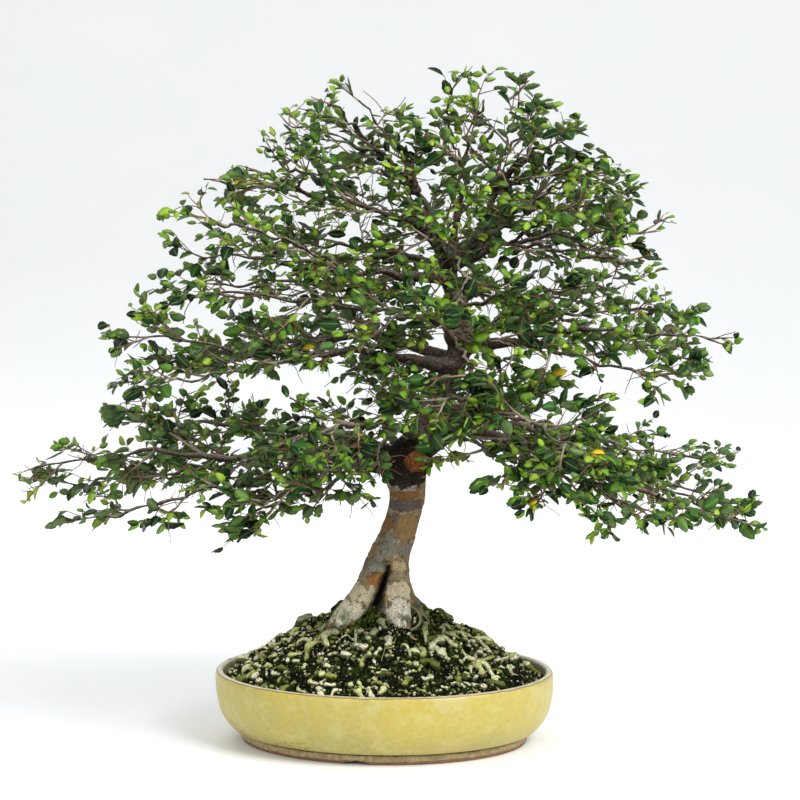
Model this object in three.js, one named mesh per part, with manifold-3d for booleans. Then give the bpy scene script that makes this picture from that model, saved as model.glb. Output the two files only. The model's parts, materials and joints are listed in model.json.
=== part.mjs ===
// Chinese elm bonsai, grown over a mound of roots and grit in an oval glazed pot.
// Millimetres, +Z up. The origin is the centre of the pot's foot, on the table.
// The tree's front looks along -Y, and its two longest limbs reach along -X and +X.
import * as THREE from 'three';
import * as BufferGeometryUtils from 'three/addons/utils/BufferGeometryUtils.js';
import Module from 'manifold-3d';

const wasm = await Module();
wasm.setup();

// Pot, in its own frame: the long axis is X
const POT_HALF_LENGTH = 137;
const POT_HALF_WIDTH = 114;
const POT_HEIGHT = 57;
const POT_WALL = 6.5;
const POT_FLOOR_BELOW = 4;
const POT_FLOOR_ABOVE = 12;
const POT_TURN = THREE.MathUtils.degToRad(-7);
const POT_SEGMENTS = 34;
const FOOT_OUTER = 116;
const FOOT_INNER = 104.5;
const FOOT_HEIGHT = 8;
const FOOT_NOTCH_WIDTH = 20;
const FOOT_NOTCH_HEIGHT = 3.4;
const FOOT_NOTCH_OFFSET = -10;
const DRAIN_RADIUS = 8;
const DRAIN_SPACING = 52;

// Drain screens and the wire clips that hold them
const SCREEN_SIDE = 26;
const SCREEN_THICKNESS = 1;
const SCREEN_BAR = 2.4;
const SCREEN_SLOTS = 3;
const WIRE_RADIUS = 0.6;
const CLIP_LEG_SPACING = 13;
const CLIP_FOOT = 8;

// Gap between pieces that touch, and the wider one that shrinking soil leaves along the pot's wall
const GAP = 0.3;
const WALL_GAP = 0.5;

// Soil mound
const SOIL_EDGE = 51;
const SOIL_RISE = 59;
const MOUND_HALF_LENGTH = 129;
const MOUND_HALF_WIDTH = 106;
const MOUND_ROUNDNESS = 1.45;
const MOUND_PEAK_X = -3;
const LUMP_HEIGHT = 2.2;
const LUMP_FADE = 8;
const SOIL_RINGS = 8;

// The pot's inside, from the soil's edge down to the floor: how far in from the wall, and the height
const INNER_WALL = [
  { inset: 0.6, height: SOIL_EDGE },
  { inset: 3.5, height: 26 },
  { inset: 12, height: 15 },
  { inset: 21, height: POT_FLOOR_ABOVE },
];

// Root ends that stand out of the mound, and roots that run over it
const STUB_COUNT = 16;
const STUB_RADIUS = 2.3;
const STUB_LENGTH = 7;
const STUB_EXTRA = 5;
const STUB_SUNK = 1.6;
const STUB_LIFT = 0.9;
const SURFACE_ROOTS = 5;
const ROOT_STEPS = 5;
const ROOT_THICK = 4.4;
const ROOT_THIN = 1.9;
const ROOT_LIFT = 1.2;
const ROOT_DIVE = 4.4;

// Leaves
const LEAF_LENGTH = 19;
const LEAF_WIDTH = 10.6;
const LEAF_THICKNESS = 0.75;
const LEAF_LEAN = THREE.MathUtils.degToRad(50);
const STALK_HALF_WIDTH = 0.9;
const TWIG_LENGTH = 58;
const FORK_ANGLE = THREE.MathUtils.degToRad(43);
const LEAF_PAIRS = 2;

// Sprays: tries for a free place, the extra thickness kept free round each, the stalk's share of wood in
// cubic millimetres, how deep a tip's stalk is rooted, and where on a limb and how far turned the others are
const SPRAY_TRIES = 30;
const SPRAY_CLEARANCE = 0.5;
const SPRAY_ROOT_VOLUME = 14;
const SPRAY_INSET = 3;
const SIDE_SPRAYS_FROM = 0.52;
const SIDE_SPRAYS_SPAN = 0.3;
const SIDE_SPRAY_TURN = 1.05;

// Branch sections
const TRUNK_SIDES = 10;
const TRUNK_STEPS = 20;
const LIMB_SIDES = 5;
const LIMB_STEP = 44;
const STOUT_LIMB = 4.5;
const TWIG_SIDES = 4;
const TIP_RADIUS = 1.5;
const LEG_TIP_RADIUS = 3.6;
const LEG_STEPS = 5;

// Trunk: the middle line from the buried foot to the last fork, and its radius there
const TRUNK = [
  { at: [-1, 0, 82], radius: 30 },
  { at: [-1, 0, 97], radius: 28.5 },
  { at: [0, 0, 113], radius: 24.5 },
  { at: [0, 0, 124], radius: 21 },
  { at: [2, 0, 135], radius: 18 },
  { at: [4, 0, 146], radius: 15.8 },
  { at: [9, 0, 160], radius: 14 },
  { at: [15, 0, 180], radius: 13 },
  { at: [18, 0, 200], radius: 13.6 },
  { at: [17, 0, 214], radius: 16.5 },
  { at: [18, 0, 225], radius: 18 },
  { at: [27, 0, 240], radius: 13 },
  { at: [43, 0, 268], radius: 10 },
  { at: [51, 0, 290], radius: 9 },
  { at: [60, 0, 314], radius: 9 },
  { at: [62, 0, 330], radius: 9 },
  { at: [58, 0, 350], radius: 7 },
  { at: [53, 0, 370], radius: 6.4 },
  { at: [51, 0, 386], radius: 5.6 },
];
const BURL = { at: [61, -1, 327], half: [15, 13, 10] };
const SCAR = { at: [26, -15.5, 227], radius: 10.5, lip: 2, depth: 1.6 };
const CLEFT = { from: [4, -21, 143], middle: [-3, -28, 122], to: [-14, -40, 98], radius: 4.2 };

// Root legs that flare from the trunk's foot into the mound
const LEGS = [
  { points: [[-3, -7, 140], [-13, -15, 123], [-26, -22, 109], [-40, -30, 99], [-54, -39, 87]], thick: 11 },
  { points: [[5, -9, 142], [9, -18, 124], [11, -25, 110], [15, -36, 99], [22, -50, 86]], thick: 11 },
  { points: [[8, 0, 138], [13, -3, 122], [19, -6, 109], [27, -10, 99], [43, -17, 85]], thick: 10 },
  { points: [[4, 7, 138], [9, 17, 121], [16, 27, 108], [28, 39, 96], [42, 52, 82]], thick: 10 },
  { points: [[-4, 7, 138], [-10, 16, 121], [-19, 26, 108], [-31, 36, 97], [-46, 47, 83]], thick: 10 },
  { points: [[-6, 0, 136], [-15, 3, 121], [-24, 6, 109], [-34, 9, 99], [-50, 13, 86]], thick: 9 },
];

// Limbs: the route from inside the trunk to the last fork, the root's radius, how many sprays stand
// on the sides, how far these reach, and how far the end spray reaches
const LIMBS = [
  { name: 'low_left_front', thick: 6.2, side: 2, spread: 62, reach: 64,
    points: [[12, -2, 220], [-27, -10, 226], [-68, -20, 231],
      [-132, -30, 233], [-192, -30, 236], [-240, -20, 228]] },
  { name: 'low_left_back', thick: 6.6, side: 2, spread: 60, reach: 58,
    points: [[10, 3, 226], [-8, 12, 235], [-36, 30, 243],
      [-71, 52, 243], [-122, 80, 246], [-180, 108, 246]] },
  { name: 'low_right_front', thick: 6.6, side: 2, spread: 62, reach: 64,
    points: [[23, -3, 228], [45, -12, 243], [65, -24, 253], [92, -38, 250],
      [124, -48, 238], [196, -56, 210], [243, -52, 195]] },
  { name: 'low_right_back', thick: 6, side: 2, spread: 60, reach: 60,
    points: [[28, 5, 236], [50, 25, 247], [97, 60, 248], [149, 84, 238], [226, 98, 223]] },
  { name: 'low_front_left', thick: 4.6, side: 0, spread: 52, reach: 60,
    points: [[30, -6, 245], [10, -45, 258], [-22, -95, 264], [-48, -140, 262]] },
  { name: 'low_front_right', thick: 4.6, side: 0, spread: 52, reach: 60,
    points: [[38, -6, 262], [72, -48, 272], [104, -96, 270], [128, -138, 260]] },
  { name: 'low_back', thick: 5, side: 1, spread: 56, reach: 62,
    points: [[32, 6, 250], [30, 55, 264], [20, 100, 266], [8, 146, 260]] },
  { name: 'mid_left_front', thick: 5.4, side: 1, spread: 56, reach: 60,
    points: [[55, -3, 301], [13, -16, 310], [-34, -36, 316],
      [-74, -52, 315], [-120, -60, 321], [-152, -62, 326]] },
  { name: 'mid_left_back', thick: 4.8, side: 0, spread: 54, reach: 58,
    points: [[54, 4, 306], [21, 28, 317], [-29, 65, 322], [-90, 92, 314], [-166, 104, 299]] },
  { name: 'mid_right_front', thick: 5, side: 1, spread: 54, reach: 58,
    points: [[63, -3, 317], [109, -16, 324], [148, -32, 334], [187, -46, 332], [220, -54, 330]] },
  { name: 'mid_right_back', thick: 4.6, side: 0, spread: 54, reach: 58,
    points: [[63, 4, 325], [96, 34, 333], [139, 72, 340], [189, 104, 340]] },
  { name: 'mid_front', thick: 4, side: 0, spread: 50, reach: 56,
    points: [[60, -4, 322], [44, -45, 340], [20, -88, 346], [0, -124, 344]] },
  { name: 'mid_back', thick: 4.2, side: 0, spread: 50, reach: 56,
    points: [[58, 5, 345], [70, 50, 360], [78, 95, 362], [80, 132, 356]] },
  { name: 'upper_left_front', thick: 4.4, side: 1, spread: 50, reach: 56,
    points: [[53, -3, 372], [13, -16, 375], [-27, -30, 379], [-66, -42, 386], [-108, -49, 390]] },
  { name: 'upper_left_back', thick: 4, side: 1, spread: 50, reach: 54,
    points: [[53, 4, 377], [21, 32, 389], [-29, 66, 396], [-72, 88, 398]] },
  { name: 'upper_right_front', thick: 4, side: 0, spread: 48, reach: 54,
    points: [[53, -3, 382], [99, -20, 401], [135, -36, 407], [162, -46, 409]] },
  { name: 'upper_right_back', thick: 4, side: 0, spread: 46, reach: 54,
    points: [[53, 4, 384], [100, 36, 412], [140, 68, 418], [162, 84, 418]] },
  { name: 'upper_front', thick: 3.6, side: 0, spread: 44, reach: 52,
    points: [[52, -4, 384], [44, -40, 402], [36, -80, 410]] },
  { name: 'upper_back', thick: 3.6, side: 0, spread: 44, reach: 52,
    points: [[52, 4, 386], [42, 44, 410], [30, 84, 418]] },
  { name: 'crown_left', thick: 3.6, side: 1, spread: 44, reach: 54,
    points: [[51, -1, 384], [30, -8, 412], [-10, -20, 428], [-60, -34, 440], [-108, -42, 446]] },
  { name: 'crown_right', thick: 3.8, side: 0, spread: 44, reach: 52,
    points: [[52, 1, 384], [76, 3, 408], [111, 14, 430], [148, 26, 444]] },
  { name: 'apex_left', thick: 3.8, side: 0, spread: 42, reach: 50,
    points: [[50, 2, 384], [36, 3, 418], [24, 5, 446], [2, 10, 466], [-34, 18, 484], [-54, 22, 490]] },
  { name: 'apex_left_top', thick: 2.8, side: 0, spread: 40, reach: 50,
    points: [[26, 4, 440], [16, 0, 468], [4, -6, 482], [-1, -8, 489]] },
  { name: 'apex_middle', thick: 3.4, side: 0, spread: 40, reach: 50,
    points: [[52, 0, 384], [58, -8, 420], [62, -14, 460], [67, -16, 484]] },
  { name: 'apex_right_top', thick: 3.4, side: 0, spread: 40, reach: 50,
    points: [[76, 3, 406], [88, 4, 440], [93, 6, 466], [99, 10, 485]] },
  { name: 'apex_right', thick: 2.8, side: 0, spread: 40, reach: 48,
    points: [[90, 4, 446], [108, -10, 464], [120, -16, 470]] },
];

// Materials
const paint = (color, roughness, metalness = 0) =>
  new THREE.MeshStandardMaterial({ color, roughness, metalness });
const glaze = paint(0xd9c878, 0.28);
const soilPaint = paint(0x3a3a26, 0.95);
const bark = paint(0x8d7a68, 0.85);
const leafPaint = paint(0x4c6b2c, 0.5);
const plastic = paint(0x20231f, 0.6);
const wirePaint = paint(0xa8adb0, 0.4, 1);

// Seeded random numbers between 0 and 1
function seeded(seed) {
  let state = seed >>> 0;
  return () => {
    state = (Math.imul(state, 1664525) + 1013904223) >>> 0;
    return state / 4294967296;
  };
}

// A closed geometry as a solid that can be joined and cut
function solid(geometry) {
  const bare = geometry.clone();
  bare.deleteAttribute('normal');
  bare.deleteAttribute('uv');
  const merged = BufferGeometryUtils.mergeVertices(bare, 1e-4);
  return new wasm.Manifold(new wasm.Mesh({
    numProp: 3,
    vertProperties: new Float32Array(merged.attributes.position.array),
    triVerts: new Uint32Array(merged.index.array),
  }));
}

// The solid's surface as a named mesh
function piece(name, body, material) {
  const data = body.getMesh();
  const geometry = new THREE.BufferGeometry();
  geometry.setAttribute('position', new THREE.BufferAttribute(data.vertProperties, 3));
  geometry.setIndex(new THREE.BufferAttribute(data.triVerts, 1));
  geometry.computeVertexNormals();
  const mesh = new THREE.Mesh(geometry, material);
  mesh.name = name;
  return mesh;
}

// The biggest of a solid's separate bodies
function largest(body) {
  const bodies = body.decompose();
  bodies.sort((a, b) => b.volume() - a.volume());
  return bodies[0];
}

function join(bodies) {
  return bodies.reduce((whole, body) => whole.add(body));
}

const vector = (point) => new THREE.Vector3(point[0], point[1], point[2]);
const route = (points) => new THREE.CatmullRomCurve3(points.map(vector), false, 'centripetal');

// A tube along a route: radiusAt(share of the length, direction out of the middle line) gives its section
function tube(points, radiusAt, sides, steps, swell = 0) {
  const ends = points.map(vector);
  const last = ends.length - 1;
  const startWay = ends[0].clone().sub(ends[1]).normalize();
  const endWay = ends[last].clone().sub(ends[last - 1]).normalize();
  ends[0].addScaledVector(startWay, swell);
  ends[last].addScaledVector(endWay, swell);
  const curve = new THREE.CatmullRomCurve3(ends, false, 'centripetal');
  const corners = [];
  for (let i = 0; i < sides; i += 1) {
    const angle = (2 * Math.PI * i) / sides;
    corners.push(new THREE.Vector2(Math.cos(angle) / 2, Math.sin(angle) / 2));
  }
  const section = new THREE.Shape(corners);
  const geometry = new THREE.ExtrudeGeometry(section, { steps, extrudePath: curve, bevelEnabled: false });
  const middles = curve.getSpacedPoints(steps);
  const position = geometry.attributes.position;
  const out = new THREE.Vector3();
  for (let i = 0; i < position.count; i += 1) {
    out.fromBufferAttribute(position, i);
    let nearest = 0;
    middles.forEach((middle, index) => {
      if (middle.distanceToSquared(out) < middles[nearest].distanceToSquared(out)) nearest = index;
    });
    out.sub(middles[nearest]).normalize();
    const radius = radiusAt(nearest / steps, out) + swell;
    out.multiplyScalar(radius).add(middles[nearest]);
    position.setXYZ(i, out.x, out.y, out.z);
  }
  return solid(geometry);
}

// Radii that thin from a root to a tip
const thinning = (thick, thin, power = 0.8) => (share) => thick + (thin - thick) * share ** power;

// Oval shapes are turned round the axis first. Then the width is drawn in by one amount all the way up
// the wall, so that the wall keeps its thickness.
function oval(geometry) {
  const difference = POT_HALF_LENGTH - POT_HALF_WIDTH;
  const wallFrom = 0.6 * POT_HALF_LENGTH;
  const position = geometry.attributes.position;
  for (let i = 0; i < position.count; i += 1) {
    const x = position.getX(i);
    const y = position.getY(i);
    const radius = Math.hypot(x, y);
    const inset = difference * THREE.MathUtils.smoothstep(radius, 0, wallFrom);
    const share = radius > 0 ? (radius - inset) / radius : 1;
    position.setY(i, y * share);
  }
  return geometry;
}

// A profile of [radius, height] pairs turned round the Z axis
function turned(profile) {
  const points = profile.map(([radius, height]) => new THREE.Vector2(radius, height));
  const geometry = new THREE.LatheGeometry(points, POT_SEGMENTS);
  return geometry.rotateX(Math.PI / 2);
}

function drainHole(x) {
  const hole = new THREE.CylinderGeometry(DRAIN_RADIUS, DRAIN_RADIUS, POT_FLOOR_ABOVE * 2, 16);
  return solid(hole.rotateX(Math.PI / 2).translate(x, 0, POT_FLOOR_ABOVE));
}

// A bracket-shaped notch through the foot ring: two low arches that meet in a point
function footNotch(angle, offset) {
  const half = FOOT_NOTCH_WIDTH / 2;
  const top = FOOT_NOTCH_HEIGHT;
  const outline = new THREE.Shape();
  outline.moveTo(-half, -1);
  outline.lineTo(half, -1);
  outline.lineTo(half, 0.1 * top);
  outline.lineTo(0.75 * half, 0.62 * top);
  outline.lineTo(0.2 * half, 0.7 * top);
  outline.lineTo(0, top);
  outline.lineTo(-0.2 * half, 0.7 * top);
  outline.lineTo(-0.75 * half, 0.62 * top);
  outline.lineTo(-half, 0.1 * top);
  // Near and far enough from the axis to cross the ring on the oval's narrow and long sides alike
  const near = 70;
  const far = 130;
  const cut = new THREE.ExtrudeGeometry(outline, { depth: far - near, bevelEnabled: false });
  cut.rotateX(Math.PI / 2).translate(offset, -near, 0);
  return solid(cut.rotateZ(angle));
}

function buildPot() {
  const length = POT_HALF_LENGTH;
  const inside = length - POT_WALL;
  const profile = [
    [0, POT_FLOOR_BELOW],
    [FOOT_INNER, POT_FLOOR_BELOW],
    [FOOT_INNER + 1.5, 0],
    [FOOT_OUTER - 0.8, 0],
    [FOOT_OUTER, 0.9],
    [FOOT_OUTER, FOOT_HEIGHT],
    [FOOT_OUTER + 6, FOOT_HEIGHT + 1.2],
    [length - 9, 15.5],
    [length - 3.4, 25],
    [length - 0.5, 40],
    [length, POT_HEIGHT - 3],
    [length - 1.2, POT_HEIGHT],
    [inside + 0.8, POT_HEIGHT],
    ...INNER_WALL.map(({ inset, height }) => [inside - inset, height]),
    [0, POT_FLOOR_ABOVE],
  ];
  let body = solid(oval(turned(profile)));
  [-DRAIN_SPACING, DRAIN_SPACING].forEach((x) => {
    body = body.subtract(drainHole(x));
  });
  [0, 1, 2, 3].forEach((quarter) => {
    const offset = quarter % 2 === 0 ? FOOT_NOTCH_OFFSET : 0;
    body = body.subtract(footNotch((quarter * Math.PI) / 2, offset));
  });
  return piece('pot', body, glaze);
}

// A square plastic screen with long slots
function buildScreen(name, x) {
  const slotWidth = (SCREEN_SIDE - SCREEN_BAR * (SCREEN_SLOTS + 1)) / SCREEN_SLOTS;
  const slotLength = SCREEN_SIDE - 2 * SCREEN_BAR;
  let body = solid(new THREE.BoxGeometry(SCREEN_SIDE, SCREEN_SIDE, SCREEN_THICKNESS));
  for (let i = 0; i < SCREEN_SLOTS; i += 1) {
    const slot = new THREE.BoxGeometry(slotWidth, slotLength, 3 * SCREEN_THICKNESS);
    const middle = (i - (SCREEN_SLOTS - 1) / 2) * (slotWidth + SCREEN_BAR);
    body = body.subtract(solid(slot.translate(middle, 0, 0)));
  }
  const mesh = piece(name, body, plastic);
  mesh.position.set(x, 0, POT_FLOOR_ABOVE + GAP + SCREEN_THICKNESS / 2);
  return mesh;
}

// A bent wire: over the screen, down through its outer slots and the hole, and out below the floor
function buildClip(name, x) {
  const leg = CLIP_LEG_SPACING / 2;
  const over = POT_FLOOR_ABOVE + 2 * GAP + SCREEN_THICKNESS + WIRE_RADIUS;
  const under = POT_FLOOR_BELOW - GAP - WIRE_RADIUS;
  const foot = leg + CLIP_FOOT;
  const bend = 1.2;
  const steps = 15;
  const points = [
    [-foot, 0, under], [-leg - bend, 0, under], [-leg, 0, under + bend],
    [-leg, 0, over - bend], [-leg + bend, 0, over], [leg - bend, 0, over], [leg, 0, over - bend],
    [leg, 0, under + bend], [leg + bend, 0, under], [foot, 0, under],
  ];
  const mesh = piece(name, tube(points, () => WIRE_RADIUS, TWIG_SIDES, steps), wirePaint);
  mesh.position.x = x;
  return mesh;
}

// Height of the mound's smooth surface, and the same with its lumps
function moundHeight(x, y) {
  const along = (x - MOUND_PEAK_X) / MOUND_HALF_LENGTH;
  const across = y / MOUND_HALF_WIDTH;
  const share = Math.max(0, 1 - along * along - across * across);
  return SOIL_EDGE + SOIL_RISE * share ** MOUND_ROUNDNESS;
}

function lumpyHeight(x, y) {
  const lumps = Math.sin(0.21 * x + 1.3) * Math.cos(0.24 * y - 0.4) + 0.7 * Math.sin(0.43 * x - 0.37 * y);
  const rise = moundHeight(x, y) - SOIL_EDGE;
  const inward = THREE.MathUtils.clamp(rise / LUMP_FADE, 0, 1);
  return SOIL_EDGE + rise + LUMP_HEIGHT * inward * lumps;
}

// The pot's filling: flat inside rings are turned with the wall, then raised to the mound's surface
function buildSoilBody() {
  const inside = POT_HALF_LENGTH - POT_WALL - WALL_GAP;
  const wall = INNER_WALL.map(({ inset, height }) => [inside - inset, height + GAP]).reverse();
  const [edge] = wall.pop();
  const ground = SOIL_EDGE + 1;
  const profile = [[0, POT_FLOOR_ABOVE + GAP], ...wall, [edge, SOIL_EDGE]];
  for (let ring = 1; ring < SOIL_RINGS; ring += 1) {
    profile.push([edge * (1 - ring / SOIL_RINGS), ground]);
  }
  profile.push([0, ground]);
  const geometry = oval(turned(profile)).rotateZ(POT_TURN);
  const position = geometry.attributes.position;
  for (let i = 0; i < position.count; i += 1) {
    if (position.getZ(i) > (SOIL_EDGE + ground) / 2) {
      position.setZ(i, lumpyHeight(position.getX(i), position.getY(i)));
    }
  }
  return solid(geometry);
}

// Short root ends that stand out of the mound, leaning downhill
function rootStubs() {
  const random = seeded(41);
  const stubs = [];
  const golden = Math.PI * (3 - Math.sqrt(5));
  for (let i = 0; i < STUB_COUNT; i += 1) {
    const reach = 0.39 + 0.465 * Math.sqrt((i + 0.5) / STUB_COUNT);
    const angle = i * golden + 0.5 * random();
    const x = MOUND_PEAK_X + MOUND_HALF_LENGTH * reach * Math.cos(angle);
    const y = MOUND_HALF_WIDTH * reach * Math.sin(angle);
    const turn = angle + 1.6 * (random() - 0.5);
    const length = STUB_LENGTH + STUB_EXTRA * random();
    const endX = x + length * Math.cos(turn);
    const endY = y + length * Math.sin(turn);
    const start = [x, y, lumpyHeight(x, y) - STUB_SUNK];
    const end = [endX, endY, lumpyHeight(endX, endY) + STUB_LIFT];
    stubs.push(tube([start, end], thinning(STUB_RADIUS, STUB_RADIUS * 0.7), TWIG_SIDES, 1));
  }
  return stubs;
}

// Roots that run over the mound, half sunk in it
function surfaceRoots(swell) {
  const random = seeded(7);
  const roots = [];
  for (let i = 0; i < SURFACE_ROOTS; i += 1) {
    const angle = (2 * Math.PI * (i + 0.2)) / SURFACE_ROOTS + 0.3 * random();
    const bend = 0.5 * (random() - 0.5);
    const points = [];
    for (let step = 0; step <= ROOT_STEPS; step += 1) {
      const share = step / ROOT_STEPS;
      const turn = angle + bend * share + 0.08 * Math.sin(5 * share + i);
      const reach = 0.14 + (0.56 + 0.1 * (i % 3)) * share;
      const x = MOUND_PEAK_X + MOUND_HALF_LENGTH * reach * Math.cos(turn);
      const y = MOUND_HALF_WIDTH * reach * Math.sin(turn);
      points.push([x, y, lumpyHeight(x, y) + ROOT_LIFT - ROOT_DIVE * share]);
    }
    roots.push(tube(points, thinning(ROOT_THICK, ROOT_THIN), TWIG_SIDES, ROOT_STEPS, swell));
  }
  return roots;
}

// The trunk, with low ridges that wind up it
function trunk(swell) {
  const middle = TRUNK.map((ring) => ring.at);
  const curve = route(middle);
  const radiusAt = (share, out) => {
    const height = curve.getPointAt(share).z;
    const above = TRUNK.findIndex((ring, index) => (
      index === TRUNK.length - 1 || (index > 0 && ring.at[2] >= height)
    ));
    const upper = TRUNK[above];
    const lower = TRUNK[above - 1];
    const radius = THREE.MathUtils.mapLinear(height, lower.at[2], upper.at[2], lower.radius, upper.radius);
    const angle = Math.atan2(out.y, out.x);
    const ridges = 0.05 * Math.cos(3 * angle + 0.03 * height) + 0.04 * Math.cos(5 * angle - 0.06 * height);
    return radius * (1 + ridges);
  };
  return tube(middle, radiusAt, TRUNK_SIDES, TRUNK_STEPS, swell);
}

// Trunk, root legs and surface roots; with a swell, the plain hole that the mound keeps for them
function treeBase(swell) {
  const legs = LEGS.map(({ points, thick }) => (
    tube(points, thinning(thick, LEG_TIP_RADIUS, 1.1), LIMB_SIDES, LEG_STEPS, swell)
  ));
  return join([trunk(swell), ...legs, ...surfaceRoots(swell)]);
}

function limbTubes(swell) {
  return LIMBS.map((limb) => {
    const length = route(limb.points).getLength();
    const steps = Math.max(3, Math.round(length / LIMB_STEP));
    const sides = limb.thick > STOUT_LIMB ? LIMB_SIDES : TWIG_SIDES;
    return tube(limb.points, thinning(limb.thick, TIP_RADIUS), sides, steps, swell);
  });
}

function burl() {
  const geometry = new THREE.SphereGeometry(1, 7, 5);
  geometry.scale(...BURL.half).translate(...BURL.at);
  return solid(geometry);
}

// A healed pruning wound: a raised ring of bark round a sunken round of wood
function scarRound(radius, from, to) {
  const geometry = new THREE.CylinderGeometry(radius, radius, to - from, 12);
  geometry.translate(0, (from + to) / 2, 0);
  return solid(geometry.translate(...SCAR.at));
}

function buildTreeBody() {
  const cleft = tube([CLEFT.from, CLEFT.middle, CLEFT.to], thinning(1.6, CLEFT.radius), LIMB_SIDES, 4);
  const rim = scarRound(SCAR.radius, -SCAR.lip, 12);
  const wood = scarRound(SCAR.radius - 3, -SCAR.lip - 1, SCAR.depth - SCAR.lip);
  const whole = join([treeBase(0), ...limbTubes(0), burl(), rim]);
  return largest(whole.subtract(wood).subtract(cleft));
}

// The outline of one leafy twig, walked from its right side round its end leaf to its left side.
// Leaves stand alternately, cut to the stalk, each with a tilt of its own. Points are [x, y, rise].
function twigOutline(length, hand, random) {
  const half = STALK_HALF_WIDTH;
  const leafAt = (x, side) => {
    const tilt = 0.7 * (random() - 0.5);
    const size = LEAF_LENGTH * (0.88 + 0.24 * random());
    const spot = (along, across, rise) => [
      x + along * Math.cos(LEAF_LEAN) + across * Math.sin(LEAF_LEAN),
      side * (half + along * Math.sin(LEAF_LEAN) - across * Math.cos(LEAF_LEAN)),
      rise,
    ];
    return [
      [x - 0.8, side * half, 0],
      spot(0.36 * size, -0.5 * LEAF_WIDTH, 0.36 * size * tilt + 0.9),
      spot(0.74 * size, -0.36 * LEAF_WIDTH, 0.74 * size * tilt + 0.5),
      spot(size, 0, size * tilt - 1),
      spot(0.5 * size, 0.5 * LEAF_WIDTH, 0.5 * size * tilt + 0.9),
      [x + 0.9, side * half, 0],
    ];
  };
  const endSize = LEAF_LENGTH * 1.1;
  const start = length - endSize;
  const firstLeaf = 5;
  const step = (start - firstLeaf) / (2 * LEAF_PAIRS - 1) - 1;
  const right = [];
  const left = [];
  for (let pair = 0; pair < LEAF_PAIRS; pair += 1) {
    const near = firstLeaf + 2 * pair * step;
    const far = near + step;
    right.push(...leafAt(hand > 0 ? near : far, -1));
    left.unshift(...leafAt(hand > 0 ? far : near, 1).reverse());
  }
  const end = [
    [start, -0.6 * half, 0],
    [start + 0.3 * endSize, -0.5 * LEAF_WIDTH, 0.8],
    [start + 0.56 * endSize, -0.46 * LEAF_WIDTH, 0.6],
    [length, 0, -1.6],
    [start + 0.6 * endSize, 0.42 * LEAF_WIDTH, 0.6],
    [start + 0.28 * endSize, 0.5 * LEAF_WIDTH, 0.8],
    [start, 0.6 * half, 0],
  ];
  return [...right, ...end, ...left];
}

// A spray seen from above: a stalk that forks into two leafy twigs, turned to either side
function sprayOutline(fork, random) {
  const half = STALK_HALF_WIDTH;
  const points = [[0, -half, 0]];
  [-1, 1].forEach((side) => {
    const heading = side * (FORK_ANGLE + 0.14 * (random() - 0.5));
    const slope = 0.6 * (random() - 0.5);
    const length = TWIG_LENGTH * (0.9 + 0.2 * random());
    twigOutline(length, -side, random).forEach(([x, y, rise]) => {
      points.push([
        fork + x * Math.cos(heading) - y * Math.sin(heading),
        x * Math.sin(heading) + y * Math.cos(heading),
        rise + slope * Math.max(0, x),
      ]);
    });
    if (side < 0) points.push([fork + 2.4, 0, 0]);
  });
  points.push([0, half, 0]);
  return points;
}

// The spray as one thin arched blade, both faces raised alike point by point
function sprayBlade(fork, droop, thickness, random) {
  const outline = sprayOutline(fork, random);
  const shape = new THREE.Shape(outline.map(([x, y]) => new THREE.Vector2(x, y)));
  const geometry = new THREE.ExtrudeGeometry(shape, { depth: thickness, bevelEnabled: false });
  geometry.translate(0, 0, -thickness / 2);
  const source = new Map();
  outline.forEach(([x, y, rise]) => source.set(`${Math.fround(x)} ${Math.fround(y)}`, rise));
  const reach = fork + TWIG_LENGTH;
  const position = geometry.attributes.position;
  for (let i = 0; i < position.count; i += 1) {
    const x = position.getX(i);
    const y = position.getY(i);
    const arch = -droop * reach * (Math.hypot(x, y) / reach) ** 2;
    position.setZ(i, position.getZ(i) + arch + source.get(`${x} ${y}`));
  }
  return geometry;
}

// Places a shape with its X axis along a direction and its Z axis as nearly up as that allows, then rolled
function aim(geometry, origin, direction, roll) {
  const along = direction.clone().normalize();
  const up = Math.abs(along.z) > 0.9 ? new THREE.Vector3(0, -1, 0) : new THREE.Vector3(0, 0, 1);
  const across = up.clone().cross(along).normalize();
  const normal = along.clone().cross(across);
  across.applyAxisAngle(along, roll);
  normal.applyAxisAngle(along, roll);
  const matrix = new THREE.Matrix4().makeBasis(along, across, normal);
  matrix.setPosition(origin);
  return geometry.applyMatrix4(matrix);
}

// One spray, its stalk rooted in its limb. Draws of its own turn and roll it.
function growSpray(place, random, extra) {
  const direction = place.direction.clone();
  direction.z += 0.5 * (random() - 0.4);
  direction.applyAxisAngle(new THREE.Vector3(0, 0, 1), 0.5 * (random() - 0.5));
  const roll = 0.9 * (random() - 0.5);
  const droop = 0.1 + 0.25 * random();
  const fork = place.reach - TWIG_LENGTH * Math.cos(FORK_ANGLE);
  const shape = sprayBlade(fork, droop, LEAF_THICKNESS + extra, random);
  return solid(aim(shape, place.start, direction, roll));
}

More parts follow.
